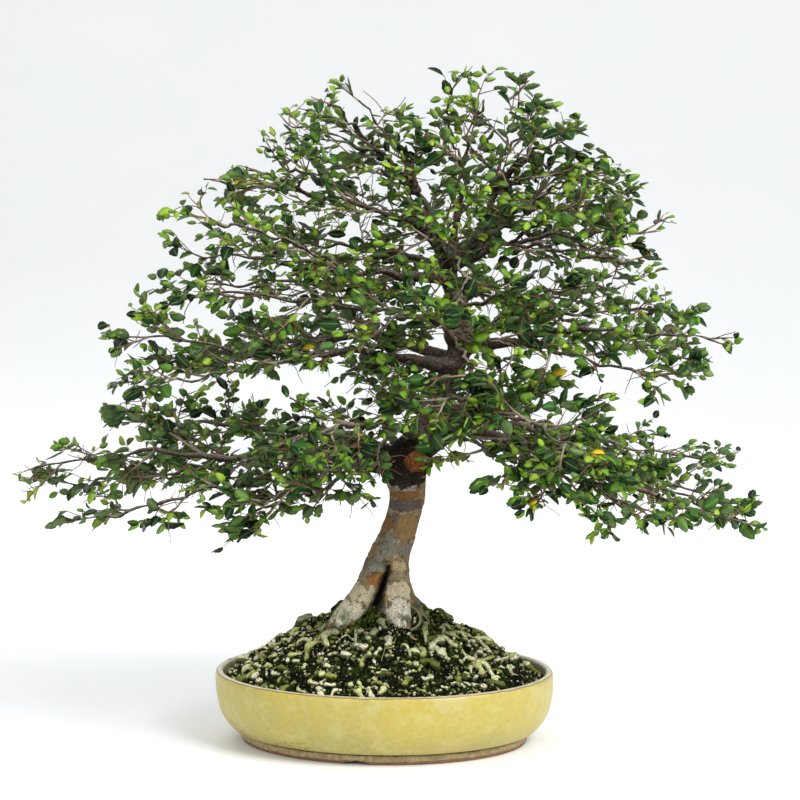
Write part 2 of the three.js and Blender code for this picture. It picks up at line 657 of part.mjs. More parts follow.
// Where sprays stand: one at each limb's end, the rest on alternate sides
function sprayPlaces() {
  const places = [];
  LIMBS.forEach((limb, limbIndex) => {
    const curve = route(limb.points);
    const tip = curve.getPointAt(1);
    const tipWay = curve.getTangentAt(1);
    places.push({
      name: `${limb.name}_spray_1`,
      start: tip.clone().addScaledVector(tipWay, -SPRAY_INSET),
      direction: tipWay,
      reach: limb.reach,
    });
    for (let i = 0; i < limb.side; i += 1) {
      const share = SIDE_SPRAYS_FROM + (SIDE_SPRAYS_SPAN * (i + 0.5)) / limb.side;
      const side = (i + limbIndex) % 2 === 0 ? 1 : -1;
      const way = curve.getTangentAt(share);
      way.z *= 0.4;
      way.applyAxisAngle(new THREE.Vector3(0, 0, 1), side * SIDE_SPRAY_TURN).normalize();
      places.push({
        name: `${limb.name}_spray_${i + 2}`,
        start: curve.getPointAt(share),
        direction: way,
        reach: limb.spread,
      });
    }
  });
  return places;
}

function boxesApart(a, b) {
  const first = a.boundingBox();
  const second = b.boundingBox();
  return [0, 1, 2].some((axis) => first.min[axis] > second.max[axis] || second.min[axis] > first.max[axis]);
}

function crosses(body, others) {
  return others.some((other) => !boxesApart(body, other) && !body.intersect(other).isEmpty());
}

// Each spray takes the first of its draws that crosses no other spray and no wood past its root
function buildSprays(tree) {
  const around = join([trunk(GAP), ...limbTubes(GAP), burl()]);
  const grown = [];
  const meshes = [];
  sprayPlaces().forEach((place, index) => {
    for (let attempt = 0; attempt < SPRAY_TRIES; attempt += 1) {
      const seed = 1000 * (index + 1) + attempt;
      const fat = growSpray(place, seeded(seed), SPRAY_CLEARANCE);
      const clearOfOthers = !crosses(fat, grown);
      const clearOfTree = fat.intersect(tree).volume() < SPRAY_ROOT_VOLUME;
      if (clearOfOthers && clearOfTree) {
        const body = largest(growSpray(place, seeded(seed), 0).subtract(around));
        grown.push(body);
        meshes.push(piece(place.name, body, leafPaint));
        break;
      }
    }
  });
  return meshes;
}

function buildSoil() {
  const pocketSide = SCREEN_SIDE + 2 * GAP;
  const pocketHeight = SCREEN_THICKNESS + 2 * WIRE_RADIUS + 4 * GAP;
  let body = join([buildSoilBody(), ...rootStubs()]);
  body = body.subtract(treeBase(GAP));
  [-DRAIN_SPACING, DRAIN_SPACING].forEach((x) => {
    const pocket = new THREE.BoxGeometry(pocketSide, pocketSide, 2 * pocketHeight);
    pocket.translate(x, 0, POT_FLOOR_ABOVE).rotateZ(POT_TURN);
    body = body.subtract(solid(pocket));
  });
  return piece('soil', largest(body), soilPaint);
}

const potGroup = new THREE.Group();
potGroup.rotation.z = POT_TURN;
potGroup.add(buildPot());
potGroup.add(buildScreen('drain_screen_left', -DRAIN_SPACING));
potGroup.add(buildScreen('drain_screen_right', DRAIN_SPACING));
potGroup.add(buildClip('screen_clip_left', -DRAIN_SPACING));
potGroup.add(buildClip('screen_clip_right', DRAIN_SPACING));

const treeBody = buildTreeBody();
const bonsai = new THREE.Group();
bonsai.add(potGroup);
bonsai.add(buildSoil());
bonsai.add(piece('tree', treeBody, bark));
buildSprays(treeBody).forEach((spray) => bonsai.add(spray));

export default bonsai;
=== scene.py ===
# %% [markdown]
# # A Chinese elm bonsai in its oval pot
# The object is an old Chinese elm that is kept small in a shallow glazed pot. Its trunk stands on a
# mound of roots, grit and moss, and its crown is built of flat layers of fine zigzag twigs.
# The measured model holds every piece at its real size, as plain solids. This script dresses it: each
# visible solid gets a finer piece in the same place, and every surface gets its own material.
# The first cell loads the measured model.

# %% The fixed frame
import json
import math
import random

import bpy
import numpy as np
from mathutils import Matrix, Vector
from mathutils.bvhtree import BVHTree
from mathutils.noise import noise as cloud_at

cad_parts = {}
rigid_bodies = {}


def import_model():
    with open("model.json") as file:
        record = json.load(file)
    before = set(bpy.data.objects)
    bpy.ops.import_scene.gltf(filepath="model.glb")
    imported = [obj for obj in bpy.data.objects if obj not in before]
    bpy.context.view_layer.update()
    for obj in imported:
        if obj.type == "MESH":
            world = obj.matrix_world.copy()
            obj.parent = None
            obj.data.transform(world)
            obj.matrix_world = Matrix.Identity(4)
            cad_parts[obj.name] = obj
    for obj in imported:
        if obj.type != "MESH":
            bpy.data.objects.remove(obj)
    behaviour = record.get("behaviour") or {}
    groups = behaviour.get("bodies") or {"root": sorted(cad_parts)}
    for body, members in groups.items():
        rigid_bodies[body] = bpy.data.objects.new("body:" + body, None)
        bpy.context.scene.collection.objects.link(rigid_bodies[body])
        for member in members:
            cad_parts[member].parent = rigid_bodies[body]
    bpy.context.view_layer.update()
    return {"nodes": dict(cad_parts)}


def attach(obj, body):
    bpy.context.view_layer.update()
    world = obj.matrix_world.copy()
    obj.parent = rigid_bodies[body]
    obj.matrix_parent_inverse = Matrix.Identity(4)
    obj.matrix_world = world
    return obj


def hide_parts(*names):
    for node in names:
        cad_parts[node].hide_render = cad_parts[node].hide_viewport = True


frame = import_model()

MM = 0.001
scene = bpy.context.scene

# %% [markdown]
# ## Camera, light and floor
# The camera has the photo's viewing angle: it stands almost two metres off, a little above the pot, and
# looks down by five degrees. A long lens keeps the pot's oval narrow. The light is soft: an even pale
# sky, one large lamp above the viewer's right, a weak one on the left and one behind for the edges.
# A wide pale floor catches the pot's shadow. It is stage, so it never counts as part of the object.

# %% Camera
CAMERA_PLACE = (0.0129, -1.85, 0.440)
CAMERA_PITCH = math.radians(5.1)
FOCAL_LENGTH = 104.3

camera_data = bpy.data.cameras.new("camera")
camera_data.lens = FOCAL_LENGTH
camera_data.sensor_width = 36
camera_data.clip_end = 60
camera = bpy.data.objects.new("camera", camera_data)
camera.location = CAMERA_PLACE
camera.rotation_euler = (math.radians(90) - CAMERA_PITCH, 0, 0)
scene.collection.objects.link(camera)
scene.camera = camera
print("camera lens in millimetres:", FOCAL_LENGTH)


# %% Lamps, sky and floor
def soft_lamp(name, place, size, power):
    """A square lamp that faces the middle of the tree."""
    data = bpy.data.lights.new(name, "AREA")
    data.size = size
    data.energy = power
    lamp = bpy.data.objects.new(name, data)
    lamp.location = place
    aim = Vector((0, 0, 0.25)) - Vector(place)
    lamp.rotation_euler = aim.to_track_quat("-Z", "Y").to_euler()
    scene.collection.objects.link(lamp)


soft_lamp("key_lamp", (1.6, -1.5, 2.2), 1.4, 88)
soft_lamp("fill_lamp", (-1.9, -1.3, 1.2), 1.8, 9)
soft_lamp("back_lamp", (-0.6, 1.8, 2.0), 1.5, 16)
scene.view_settings.view_transform = "Standard"
world = bpy.data.worlds.new("pale_sky")
world.use_nodes = True
sky = world.node_tree.nodes["Background"]
sky.inputs["Color"].default_value = (0.985, 0.99, 1.0, 1)
sky.inputs["Strength"].default_value = 0.8
scene.world = world

# The floor runs back and then curves up behind the tree, so no horizon shows. Lengths are in metres
FLOOR_FRONT = -7
FLOOR_BACK = 2.2
CURVE_RADIUS = 2.5
CURVE_STEPS = 24
FLOOR_TOP = 9
FLOOR_SIDE = 9
outline = [(FLOOR_FRONT, 0)]
for step in range(CURVE_STEPS + 1):
    turn = math.pi / 2 * step / CURVE_STEPS
    outline.append((FLOOR_BACK + CURVE_RADIUS * math.sin(turn), CURVE_RADIUS * (1 - math.cos(turn))))
outline.append((FLOOR_BACK + CURVE_RADIUS, FLOOR_TOP))
floor_points = [(side * FLOOR_SIDE, y, z) for y, z in outline for side in (-1, 1)]
floor_faces = [(k, k + 1, k + 3, k + 2) for k in range(0, 2 * len(outline) - 2, 2)]
floor_mesh = bpy.data.meshes.new("floor")
floor_mesh.from_pydata(floor_points, [], floor_faces)
floor_mesh.shade_smooth()
floor = bpy.data.objects.new("floor", floor_mesh)
scene.collection.objects.link(floor)

# %% [markdown]
# ## Small tools for node trees
# Materials and Geometry Nodes are both trees of nodes. A few helpers keep them readable: `add` makes a
# node and fills its inputs, and the others wrap the nodes that are used most. An input that is given
# another node's output becomes a link, and anything else becomes a value.


# %% Node helpers
def plug(tree, socket, value):
    """Fills one input, by a link or by a value."""
    if isinstance(value, bpy.types.NodeSocket):
        tree.links.new(value, socket)
    else:
        socket.default_value = value


def add(tree, kind, inputs=None, **settings):
    """A new node with its options set and its inputs filled, each by name or number."""
    node = tree.nodes.new(kind)
    for name, value in settings.items():
        setattr(node, name, value)
    for key, value in (inputs or {}).items():
        plug(tree, node.inputs[key], value)
    return node


def calc(tree, operation, a, b=0.0, c=0.0):
    """Arithmetic on numbers."""
    return add(tree, "ShaderNodeMath", {0: a, 1: b, 2: c}, operation=operation).outputs[0]


def times(tree, a, b):
    """The product of two numbers."""
    return calc(tree, "MULTIPLY", a, b)


def shift(tree, a, b, operation="ADD"):
    """Vector arithmetic on two places."""
    return add(tree, "ShaderNodeVectorMath", {0: a, 1: b}, operation=operation).outputs[0]


def stretch(tree, vector, factor):
    """A vector made longer or shorter."""
    return add(tree, "ShaderNodeVectorMath", {0: vector, 3: factor}, operation="SCALE").outputs[0]


def part_of(tree, vector, axis):
    """One of a vector's three numbers."""
    return add(tree, "ShaderNodeSeparateXYZ", {0: vector}).outputs[axis]


def mix(tree, share, a, b):
    """A blend of two colours."""
    return add(tree, "ShaderNodeMix", {0: share, 6: a, 7: b}, data_type="RGBA").outputs[2]


def fade(tree, value, low, high, from_value=0.0, to_value=1.0):
    """A soft step: from_value below low, to_value above high."""
    sockets = {0: value, 1: low, 2: high, 3: from_value, 4: to_value}
    return add(tree, "ShaderNodeMapRange", sockets, interpolation_type="SMOOTHSTEP").outputs[0]


def noise(tree, vector, size, detail=3.0, roughness=0.55, output="Fac"):
    """Clouds whose blotches are about that size, in metres."""
    sockets = {"Vector": vector, "Scale": 1 / size, "Detail": detail, "Roughness": roughness}
    return add(tree, "ShaderNodeTexNoise", sockets).outputs[output]


def cells(tree, vector, size, feature="F1"):
    """Random cells about that wide, in metres. Returns the node."""
    return add(tree, "ShaderNodeTexVoronoi", {"Vector": vector, "Scale": 1 / size}, feature=feature)


def attribute(tree, name):
    """What a mesh stores under a name, read by a material."""
    return add(tree, "ShaderNodeAttribute", attribute_name=name).outputs["Fac"]


def stored(tree, name, kind="FLOAT"):
    """What a mesh stores under a name, read by Geometry Nodes."""
    return add(tree, "GeometryNodeInputNamedAttribute", {0: name}, data_type=kind).outputs[0]


def end_tree(tree, geometry, given, result):
    """Ends a tree of Geometry Nodes: copies become real mesh, and the mesh gets its finish."""
    real = add(tree, "GeometryNodeRealizeInstances", {0: geometry})
    dressed = add(tree, "GeometryNodeSetMaterial", {0: real.outputs[0], 2: given["Finish"]})
    plug(tree, result[0], dressed.outputs[0])


print("node helpers ready")


# %% Colours, groups and materials
def srgb(red, green, blue):
    """A colour as picked on a screen, from 0 to 255, as the linear numbers that shaders use."""
    shares = [c / 255 for c in (red, green, blue)]
    return (*[s / 12.92 if s <= 0.04045 else ((s + 0.055) / 1.055) ** 2.4 for s in shares], 1)


def ramp(tree, value, stops):
    """A row of colours, as (position, colour) pairs."""
    node = add(tree, "ShaderNodeValToRGB", {0: value})
    elements = node.color_ramp.elements
    while len(elements) < len(stops):
        elements.new(0.5)
    for element, (position, colour) in zip(elements, stops):
        element.position = position
        element.color = colour
    return node.outputs[0]


def new_group(name, kind, inputs, outputs):
    """A node group with named sockets. Returns the group, what it is given and its results."""
    group = bpy.data.node_groups.new(name, kind)
    for label, socket, value in inputs:
        made = group.interface.new_socket(label, in_out="INPUT", socket_type="NodeSocket" + socket)
        if value is not None:
            made.default_value = value
    for label, socket in outputs:
        group.interface.new_socket(label, in_out="OUTPUT", socket_type="NodeSocket" + socket)
    given = group.nodes.new("NodeGroupInput").outputs
    return group, given, group.nodes.new("NodeGroupOutput").inputs


def use(tree, group, **inputs):
    """Places a shader group in a material. Its inputs are named as in the group."""
    node = add(tree, "ShaderNodeGroup", node_tree=group)
    for name, value in inputs.items():
        plug(tree, node.inputs[name.replace("_", " ").capitalize()], value)
    return node


def new_material(name):
    """A material with its node tree, its main shader and the object's own coordinates."""
    material = bpy.data.materials.new(name)
    material.use_nodes = True
    tree = material.node_tree
    place = tree.nodes.new("ShaderNodeTexCoord").outputs["Object"]
    return material, tree, tree.nodes["Principled BSDF"], place


def dull(shader, level=0.07):
    """Soil, bark, moss and leaves mirror far less of the pale sky than glaze does."""
    shader.inputs["Specular IOR Level"].default_value = level


def dress(tree, shader, colour, roughness):
    """Links a finish's colour and its roughness."""
    plug(tree, shader.inputs["Base Color"], colour)
    plug(tree, shader.inputs["Roughness"], roughness)


def bump(tree, shader, height, distance):
    """Small relief, in metres."""
    sockets = {"Height": height, "Distance": distance, "Strength": 1.0}
    plug(tree, shader.inputs["Normal"], add(tree, "ShaderNodeBump", sockets).outputs[0])


print("material helpers ready")

# %% The floor's finish
paper, tree, shader, place = new_material("pale_studio_floor")
grain = noise(tree, place, 0.4)
plug(tree, shader.inputs["Base Color"], mix(tree, grain, srgb(240, 242, 243), srgb(245, 246, 246)))
shader.inputs["Roughness"].default_value = 0.7
floor.data.materials.append(paper)
print("material:", paper.name)

# %% [markdown]
# ## Effects that several finishes share
# Four effects turn up on more than one surface, so each is a node group that is built once.
# *Clouds* gives a soft mask of blotches. *Specks* gives scattered dots, as iron makes in a glaze.
# *Patch* is one ragged spot at a chosen place, with a second mask for its edge, for the marks that make
# this tree itself. *Moss* greens whatever is low and faces up, and brings its own green. The groups put
# out only masks and colours, and the shader stays in each material.

# %% Clouds and specks
clouds, given, result = new_group(
    "Clouds", "ShaderNodeTree",
    [("Place", "Vector", None), ("Size", "Float", 0.01), ("Low", "Float", 0.4), ("High", "Float", 0.6)],
    [("Mask", "Float")])
scaled = stretch(clouds, given["Place"], calc(clouds, "DIVIDE", 1.0, given["Size"]))
soft = add(clouds, "ShaderNodeTexNoise", {"Vector": scaled, "Scale": 1.0, "Detail": 4.0})
plug(clouds, result["Mask"], fade(clouds, soft.outputs["Fac"], given["Low"], given["High"]))

specks, given, result = new_group(
    "Specks", "ShaderNodeTree",
    [("Place", "Vector", None), ("Spacing", "Float", 0.004), ("Share", "Float", 0.3),
     ("Width", "Float", 0.2)],
    [("Mask", "Float")])
scaled = stretch(specks, given["Place"], calc(specks, "DIVIDE", 1.0, given["Spacing"]))
dots = add(specks, "ShaderNodeTexVoronoi", {"Vector": scaled, "Scale": 1.0})
chosen = calc(specks, "LESS_THAN", part_of(specks, dots.outputs["Color"], 0), given["Share"])
near = fade(specks, dots.outputs["Distance"], 0.0, given["Width"], 1.0, 0.0)
plug(specks, result["Mask"], times(specks, near, chosen))
print("groups:", clouds.name, specks.name)

# %% Patch and moss
patch, given, result = new_group(
    "Patch", "ShaderNodeTree",
    [("Place", "Vector", None), ("Centre", "Vector", None), ("Half size", "Vector", None),
     ("Ragged", "Float", 0.35)],
    [("Mask", "Float"), ("Edge", "Float")])
away = shift(patch, given["Place"], given["Centre"], "SUBTRACT")
shares = shift(patch, away, given["Half size"], "DIVIDE")
distance = add(patch, "ShaderNodeVectorMath", {0: shares}, operation="LENGTH").outputs["Value"]
torn = calc(patch, "SUBTRACT", noise(patch, given["Place"], 0.006), 0.5)
torn = times(patch, torn, times(patch, given["Ragged"], 4.0))
torn = calc(patch, "ADD", distance, torn)
plug(patch, result["Mask"], fade(patch, torn, 0.95, 1.03, 1.0, 0.0))
rim = times(patch, fade(patch, torn, 0.88, 0.98), fade(patch, torn, 1.0, 1.08, 1.0, 0.0))
plug(patch, result["Edge"], rim)

moss, given, result = new_group(
    "Moss", "ShaderNodeTree",
    [("Place", "Vector", None), ("Full below", "Float", 0.1), ("None above", "Float", 0.13),
     ("Cover", "Float", 0.5)],
    [("Mask", "Float"), ("Colour", "Color")])
height = part_of(moss, given["Place"], 2)
low = fade(moss, height, given["Full below"], given["None above"], 1.0, 0.0)
facing = part_of(moss, add(moss, "ShaderNodeNewGeometry").outputs["Normal"], 2)
upward = fade(moss, facing, -0.5, 0.6, 0.25, 1.0)
blotch = noise(moss, given["Place"], 0.009, 5.0, 0.65)
blotch = fade(moss, calc(moss, "ADD", blotch, given["Cover"]), 0.92, 1.08)
plug(moss, result["Mask"], times(moss, times(moss, low, upward), blotch))
fine = noise(moss, given["Place"], 0.0022, 4.0, 0.7)
plug(moss, result["Colour"], ramp(moss, fine, [
    (0.34, srgb(9, 15, 5)), (0.54, srgb(32, 48, 12)), (0.74, srgb(98, 120, 36))]))
print("groups:", patch.name, moss.name)

# %% [markdown]
# ## Mesh tools
# A few tools make all the shapes. `new_mesh` turns points in millimetres into a mesh in metres, so
# every object stays at the origin. `smooth_line` draws a curve through a few points, and `tube` sweeps
# round sections along it. `run_nodes` runs a Geometry Nodes tree on a mesh and keeps the result as a
# plain mesh, because only plain meshes are exported.


# %% Lines and tubes
def between(a, b, start, end, at):
    """The point of a straight line that passes a at start and b at end."""
    return ((end - at) * a + (at - start) * b) / (end - start)


# Points that are worked out between two given ones
POINTS_BETWEEN = 20


def smooth_line(points, step):
    """Evenly spaced points on the smooth curve that runs through the given ones."""
    fixed = np.array(points, float)
    fixed = np.vstack([2 * fixed[0] - fixed[1], fixed, 2 * fixed[-1] - fixed[-2]])
    dense = []
    for a, b, c, d in zip(fixed, fixed[1:], fixed[2:], fixed[3:]):
        ta = 0.0
        tb = ta + np.linalg.norm(b - a) ** 0.5
        tc = tb + np.linalg.norm(c - b) ** 0.5
        td = tc + np.linalg.norm(d - c) ** 0.5
        t = np.linspace(tb, tc, POINTS_BETWEEN, endpoint=False)[:, None]
        ab = between(a, b, ta, tb, t)
        bc = between(b, c, tb, tc, t)
        cd = between(c, d, tc, td, t)
        dense.append(between(between(ab, bc, ta, tc, t), between(bc, cd, tb, td, t), tb, tc, t))
    dense = np.vstack([*dense, fixed[-2]])
    passed = np.concatenate([[0], np.cumsum(np.linalg.norm(np.diff(dense, axis=0), axis=1))])
    even = np.linspace(0, passed[-1], max(2, round(passed[-1] / step) + 1))
    return np.stack([np.interp(even, passed, dense[:, k]) for k in range(3)], axis=1)


# A direction that no tube starts along, from which its first side is taken
ASKEW = (0.31, 0.22, 0.92)


def tube(points, radii, sides):
    """Vertices and faces of a closed tube round a line."""
    points = np.asarray(points, float)
    ways = np.gradient(points, axis=0)
    ways /= np.linalg.norm(ways, axis=1)[:, None]
    side = np.cross(ways[0], ASKEW)
    angles = np.arange(sides) * 2 * math.pi / sides
    vertices = []
    for point, way, radius in zip(points, ways, radii):
        side = side - way * (side @ way)
        side /= np.linalg.norm(side)
        other = np.cross(way, side)
        vertices.extend(point + radius * (math.cos(a) * side + math.sin(a) * other) for a in angles)
    faces = []
    for low in range(0, len(vertices) - sides, sides):
        for k in range(sides):
            after = (k + 1) % sides
            faces.append((low + k, low + after, low + sides + after, low + sides + k))
    faces.append(tuple(range(sides - 1, -1, -1)))
    faces.append(tuple(range(len(vertices) - sides, len(vertices))))
    return vertices, faces


def together(parts):
    """Several (vertices, faces) pairs as one."""
    vertices, faces = [], []
    for some_vertices, some_faces in parts:
        start = len(vertices)
        vertices.extend(some_vertices)
        faces.extend(tuple(start + v for v in face) for face in some_faces)
    return vertices, faces


print("line and tube tools ready")


# %% Meshes
def link_mesh(name, mesh):
    """A new object that shows a mesh."""
    made = bpy.data.objects.new(name, mesh)
    scene.collection.objects.link(made)
    return made


def new_mesh(name, vertices, faces, edges=(), smooth=True):
    """A mesh from points in millimetres."""
    mesh = bpy.data.meshes.new(name)
    mesh.from_pydata((np.asarray(vertices, float) * MM).tolist(), list(edges), list(faces))
    if smooth:
        mesh.shade_smooth()
    return mesh


def store(mesh, name, values, kind="FLOAT", domain="POINT"):
    """Keeps one number or vector for each point, or each face, of a mesh."""
    layer = mesh.attributes.new(name, kind, domain)
    flat = np.asarray(values, np.float32).ravel()
    layer.data.foreach_set("vector" if kind == "FLOAT_VECTOR" else "value", flat)


print("mesh tools ready")


# %% Plain results and finished pieces
def plain(source, name):
    """The object as its modifiers leave it, as a mesh without modifiers."""
    bpy.context.view_layer.update()
    depsgraph = bpy.context.evaluated_depsgraph_get()
    shaped = source.evaluated_get(depsgraph)
    mesh = bpy.data.meshes.new_from_object(shaped, preserve_all_data_layers=True, depsgraph=depsgraph)
    source.modifiers.clear()
    bpy.data.objects.remove(source)
    return link_mesh(name, mesh)


def run_nodes(source, name, tree, **inputs):
    """Runs a tree on an object and returns the plain result. Inputs are named as in the tree."""
    modifier = source.modifiers.new("nodes", "NODES")
    modifier.node_group = tree
    for item in tree.interface.items_tree:
        key = item.name.lower().replace(" ", "_")
        if item.item_type == "SOCKET" and item.in_out == "INPUT" and key in inputs:
            modifier[item.identifier] = inputs[key]
    return plain(source, name)


def shape_box(name, meshes):
    """Shapes for Geometry Nodes to copy, in a collection that is not shown."""
    box = bpy.data.collections.new(name)
    for k, mesh in enumerate(meshes):
        box.objects.link(bpy.data.objects.new(f"{name}_{k}", mesh))
    return box


def empty_box(box):
    """Removes the shapes once they have been copied."""
    for shape in list(box.objects):
        bpy.data.objects.remove(shape)
    bpy.data.collections.remove(box)


def triangles(piece):
    """How many triangles a piece has."""
    return sum(len(face.vertices) - 2 for face in piece.data.polygons)


def finish_piece(piece, slot, *nodes):
    """Attaches the piece to the root body, hides the solids that it stands for and prints its triangles.
    The slot, meant for its finish, is not used.
    """
    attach(piece, "root")
    if nodes:
        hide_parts(*nodes)
    print(f"{piece.name}: {triangles(piece)} triangles")


print("piece tools ready")

# %% [markdown]
# ## The pot
# The pot is an oval stoneware bowl with a rolled lip, a bellied wall and a foot ring whose edge is cut
# away in four low brackets. A turned bowl is one profile spun round an axis. Blender's Screw modifier
# could do that, but this bowl is oval: its front and back are drawn in once it leaves the foot. So the
# rings are laid one by one, from a profile whose corners are rounded, with the same rule as the model.

# %% The pot's profile
# Radius, height and how far the corner is rounded, in millimetres, from under the foot to the floor
POT_PROFILE = [
    (0, 4, 0), (104.5, 4, 0.6), (106, 0, 0.5), (115.2, 0, 0.5), (115.9, 1.2, 0.6), (116.2, 6.6, 0.7),
    (114.9, 7.7, 0.5), (117.6, 8.3, 0.5), (122, 9.4, 2.2), (128.2, 15.5, 4.2), (133.8, 25, 5.4),
    (136.8, 40, 6.5), (137, 54, 1.6), (135.6, 57, 1.5), (131.4, 57, 1.5), (129.9, 51, 2.6),
    (127, 26, 5), (118.5, 15, 4), (109.5, 12, 3), (0, 12, 0)]
# The profile's corners where the finish changes, counted from 0
FOOT_EDGE, FOOT_TOP, LIP_OUTSIDE, LIP_INSIDE = 4, 6, 13, 14
POT_HALF_LENGTH = 137
POT_HALF_WIDTH = 114
POT_TURN = math.radians(-7)
# Past this share of the half length, the front and back are drawn in fully
DRAWN_PAST = 0.6


def rounded(rows, points_each=4):
    """The profile with its corners rounded. Each point also keeps its place along the plain profile."""
    corners = np.array([row[:2] for row in rows], float)
    along = np.concatenate([[0], np.cumsum(np.linalg.norm(np.diff(corners, axis=0), axis=1))])
    line = [(*corners[0], along[0])]
    for k in range(1, len(rows) - 1):
        cut = rows[k][2]
        start = corners[k] + (corners[k - 1] - corners[k]) * cut / (along[k] - along[k - 1])
        end = corners[k] + (corners[k + 1] - corners[k]) * cut / (along[k + 1] - along[k])
        for t in np.linspace(0, 1, points_each):
            point = (1 - t) ** 2 * start + 2 * t * (1 - t) * corners[k] + t * t * end
            line.append((*point, along[k] + cut * (2 * t - 1)))
    line.append((*corners[-1], along[-1]))
    return np.array(line), [float(a) for a in along]


def pot_oval(x, y):
    """Draws the front and back in, fully outside the foot, and turns the oval as the pot stands."""
    away = np.hypot(x, y)
    reach = np.clip(away / (DRAWN_PAST * POT_HALF_LENGTH), 0, 1)
    drawn = (POT_HALF_LENGTH - POT_HALF_WIDTH) * reach * reach * (3 - 2 * reach)
    y = y * np.maximum(0, 1 - drawn / np.maximum(away, 1))
    cos, sin = math.cos(POT_TURN), math.sin(POT_TURN)
    return x * cos - y * sin, x * sin + y * cos


profile, profile_at = rounded(POT_PROFILE)
print("profile points:", len(profile), "length in mm:", round(profile_at[-1]))

# %% [markdown]
# ### Its glaze
# The pot wears a pale yellow glaze, deeper above and paler low down, with milky clouds, fine iron specks
# and a dirty stain over the foot at the left. It breaks to cream on the lip, with a brown line along the
# outer edge and a small chip at the left end. The clay is bare inside and on the foot ring. One material
# holds them all. The mesh carries how far each point lies along the profile, and that number chooses the
# zone, so the borders follow the turned shape and not a flat picture.

# %% Glaze
glaze, tree, shader, place = new_material("yellow_glaze_on_brown_clay")
along = attribute(tree, "along_profile")
wander = calc(tree, "SUBTRACT", noise(tree, place, 0.009), 0.5)
along = calc(tree, "ADD", along, times(tree, wander, 2.6))
broad = use(tree, clouds, place=place, size=0.045, low=0.36, high=0.66).outputs[0]
fine = use(tree, clouds, place=place, size=0.004, low=0.3, high=0.7).outputs[0]
height = part_of(tree, place, 2)
warm = mix(tree, broad, srgb(172, 161, 84), srgb(182, 164, 68))
cool = mix(tree, broad, srgb(168, 157, 84), srgb(180, 165, 84))
body = mix(tree, fade(tree, height, 0.012, 0.040), cool, warm)
milky = use(tree, clouds, place=place, size=0.016, low=0.46, high=0.7).outputs[0]
body = mix(tree, times(tree, milky, 0.45), body, srgb(192, 184, 122))
body = mix(tree, times(tree, fine, 0.24), body, srgb(202, 188, 118))
iron = use(tree, specks, place=place, spacing=0.0042, share=0.16, width=0.13).outputs[0]
dust = use(tree, specks, place=place, spacing=0.0016, share=0.3, width=0.22).outputs[0]
body = mix(tree, times(tree, dust, 0.35), body, srgb(150, 126, 62))
body = mix(tree, times(tree, iron, 0.8), body, srgb(92, 66, 34))
pitted = use(tree, clouds, place=place, size=0.0028, low=0.5, high=0.6).outputs[0]
stain = use(tree, clouds, place=place, size=0.03, low=0.42, high=0.58).outputs[0]
stain = times(tree, pitted, stain)
stain = times(tree, stain, fade(tree, height, 0.011, 0.021, 0.62, 0.0))
stain = times(tree, stain, fade(tree, part_of(tree, place, 0), -0.045, 0.01, 1.0, 0.12))
body = mix(tree, stain, body, srgb(84, 66, 36))
print("glaze mixed with", len(tree.nodes), "nodes")

# %% Lip, bare clay and their borders
# The chip in the lip: its centre and half size, in metres
CHIP_CENTRE = (-0.1300, 0.0370, 0.0570)
CHIP_SIZE = (0.0040, 0.0050, 0.0030)
cream = mix(tree, fine, srgb(186, 178, 148), srgb(206, 198, 168))
clay = mix(tree, noise(tree, place, 0.003), srgb(100, 68, 50), srgb(148, 110, 82))
inner = mix(tree, noise(tree, place, 0.006), srgb(118, 108, 88), srgb(158, 148, 124))
# The outer face of the foot ring: its own dull colour with pits, darkened overall as painted shade under
# the pot's belly
foot_band_and_shade = mix(tree, fine, srgb(148, 132, 92), srgb(182, 166, 122))
foot_band_and_shade = mix(tree, times(tree, pitted, 0.3), foot_band_and_shade, srgb(96, 70, 44))
groove = calc(tree, "COMPARE", along, profile_at[FOOT_TOP] + 0.6, 1.5)
lip = calc(tree, "COMPARE", along, profile_at[LIP_OUTSIDE] - 0.5, 0.6)


def zone(start, inside, outside):
    """A border between two finishes across the profile."""
    return mix(tree, fade(tree, along, start - 0.5, start + 0.5), inside, outside)


colour = zone(profile_at[FOOT_EDGE] + 1.6, clay, foot_band_and_shade)
colour = mix(tree, times(tree, groove, 0.8), colour, srgb(66, 46, 26))
colour = zone(profile_at[FOOT_TOP] + 3.4, colour, body)
colour = zone(profile_at[LIP_OUTSIDE] - 0.4, colour, cream)
colour = mix(tree, times(tree, lip, 0.75), colour, srgb(124, 76, 40))
colour = zone(profile_at[LIP_INSIDE] + 2.0, colour, inner)
chip = use(tree, patch, place=place, centre=CHIP_CENTRE, half_size=CHIP_SIZE, ragged=0.1)
colour = mix(tree, chip.outputs["Mask"], colour, srgb(74, 54, 40))
plug(tree, shader.inputs["Base Color"], colour)
glossy = times(tree, fade(tree, along, profile_at[FOOT_TOP] + 3, profile_at[FOOT_TOP] + 4),
               fade(tree, along, profile_at[LIP_INSIDE] + 1, profile_at[LIP_INSIDE] + 2, 1.0, 0.0))
plug(tree, shader.inputs["Roughness"], fade(tree, glossy, 0.0, 1.0, 0.85, 0.36))
relief = times(tree, noise(tree, place, 0.0012), 0.25)
relief = calc(tree, "ADD", relief, noise(tree, place, 0.012))
bump(tree, shader, calc(tree, "SUBTRACT", relief, times(tree, iron, 0.4)), 0.0006)
print("material:", glaze.name)

# %% [markdown]
# ### Its body
# Each ring of the mesh is one point of the profile carried round. Where a bracket is cut, the foot's
# underside is lifted to the bracket's outline. The points of a ring stand closer together near the cuts,
# so the little cusp stays crisp. The two drain holes are cut with a Boolean, as a potter cuts them.

# %% The pot's mesh
# A bracket's size, and the X at which the front and back ones lie, in millimetres
NOTCH_HALF_WIDTH = 10
NOTCH_HEIGHT = 3.4
NOTCH_OFFSET = -10
# Radii just inside the foot ring and at the middle of its underside, in millimetres
FOOT_INSIDE = 102
FOOT_MIDDLE = 110
RING_POINTS = 160
# How far round a cut the extra points reach, in radians
NEAR_CUT = 0.12


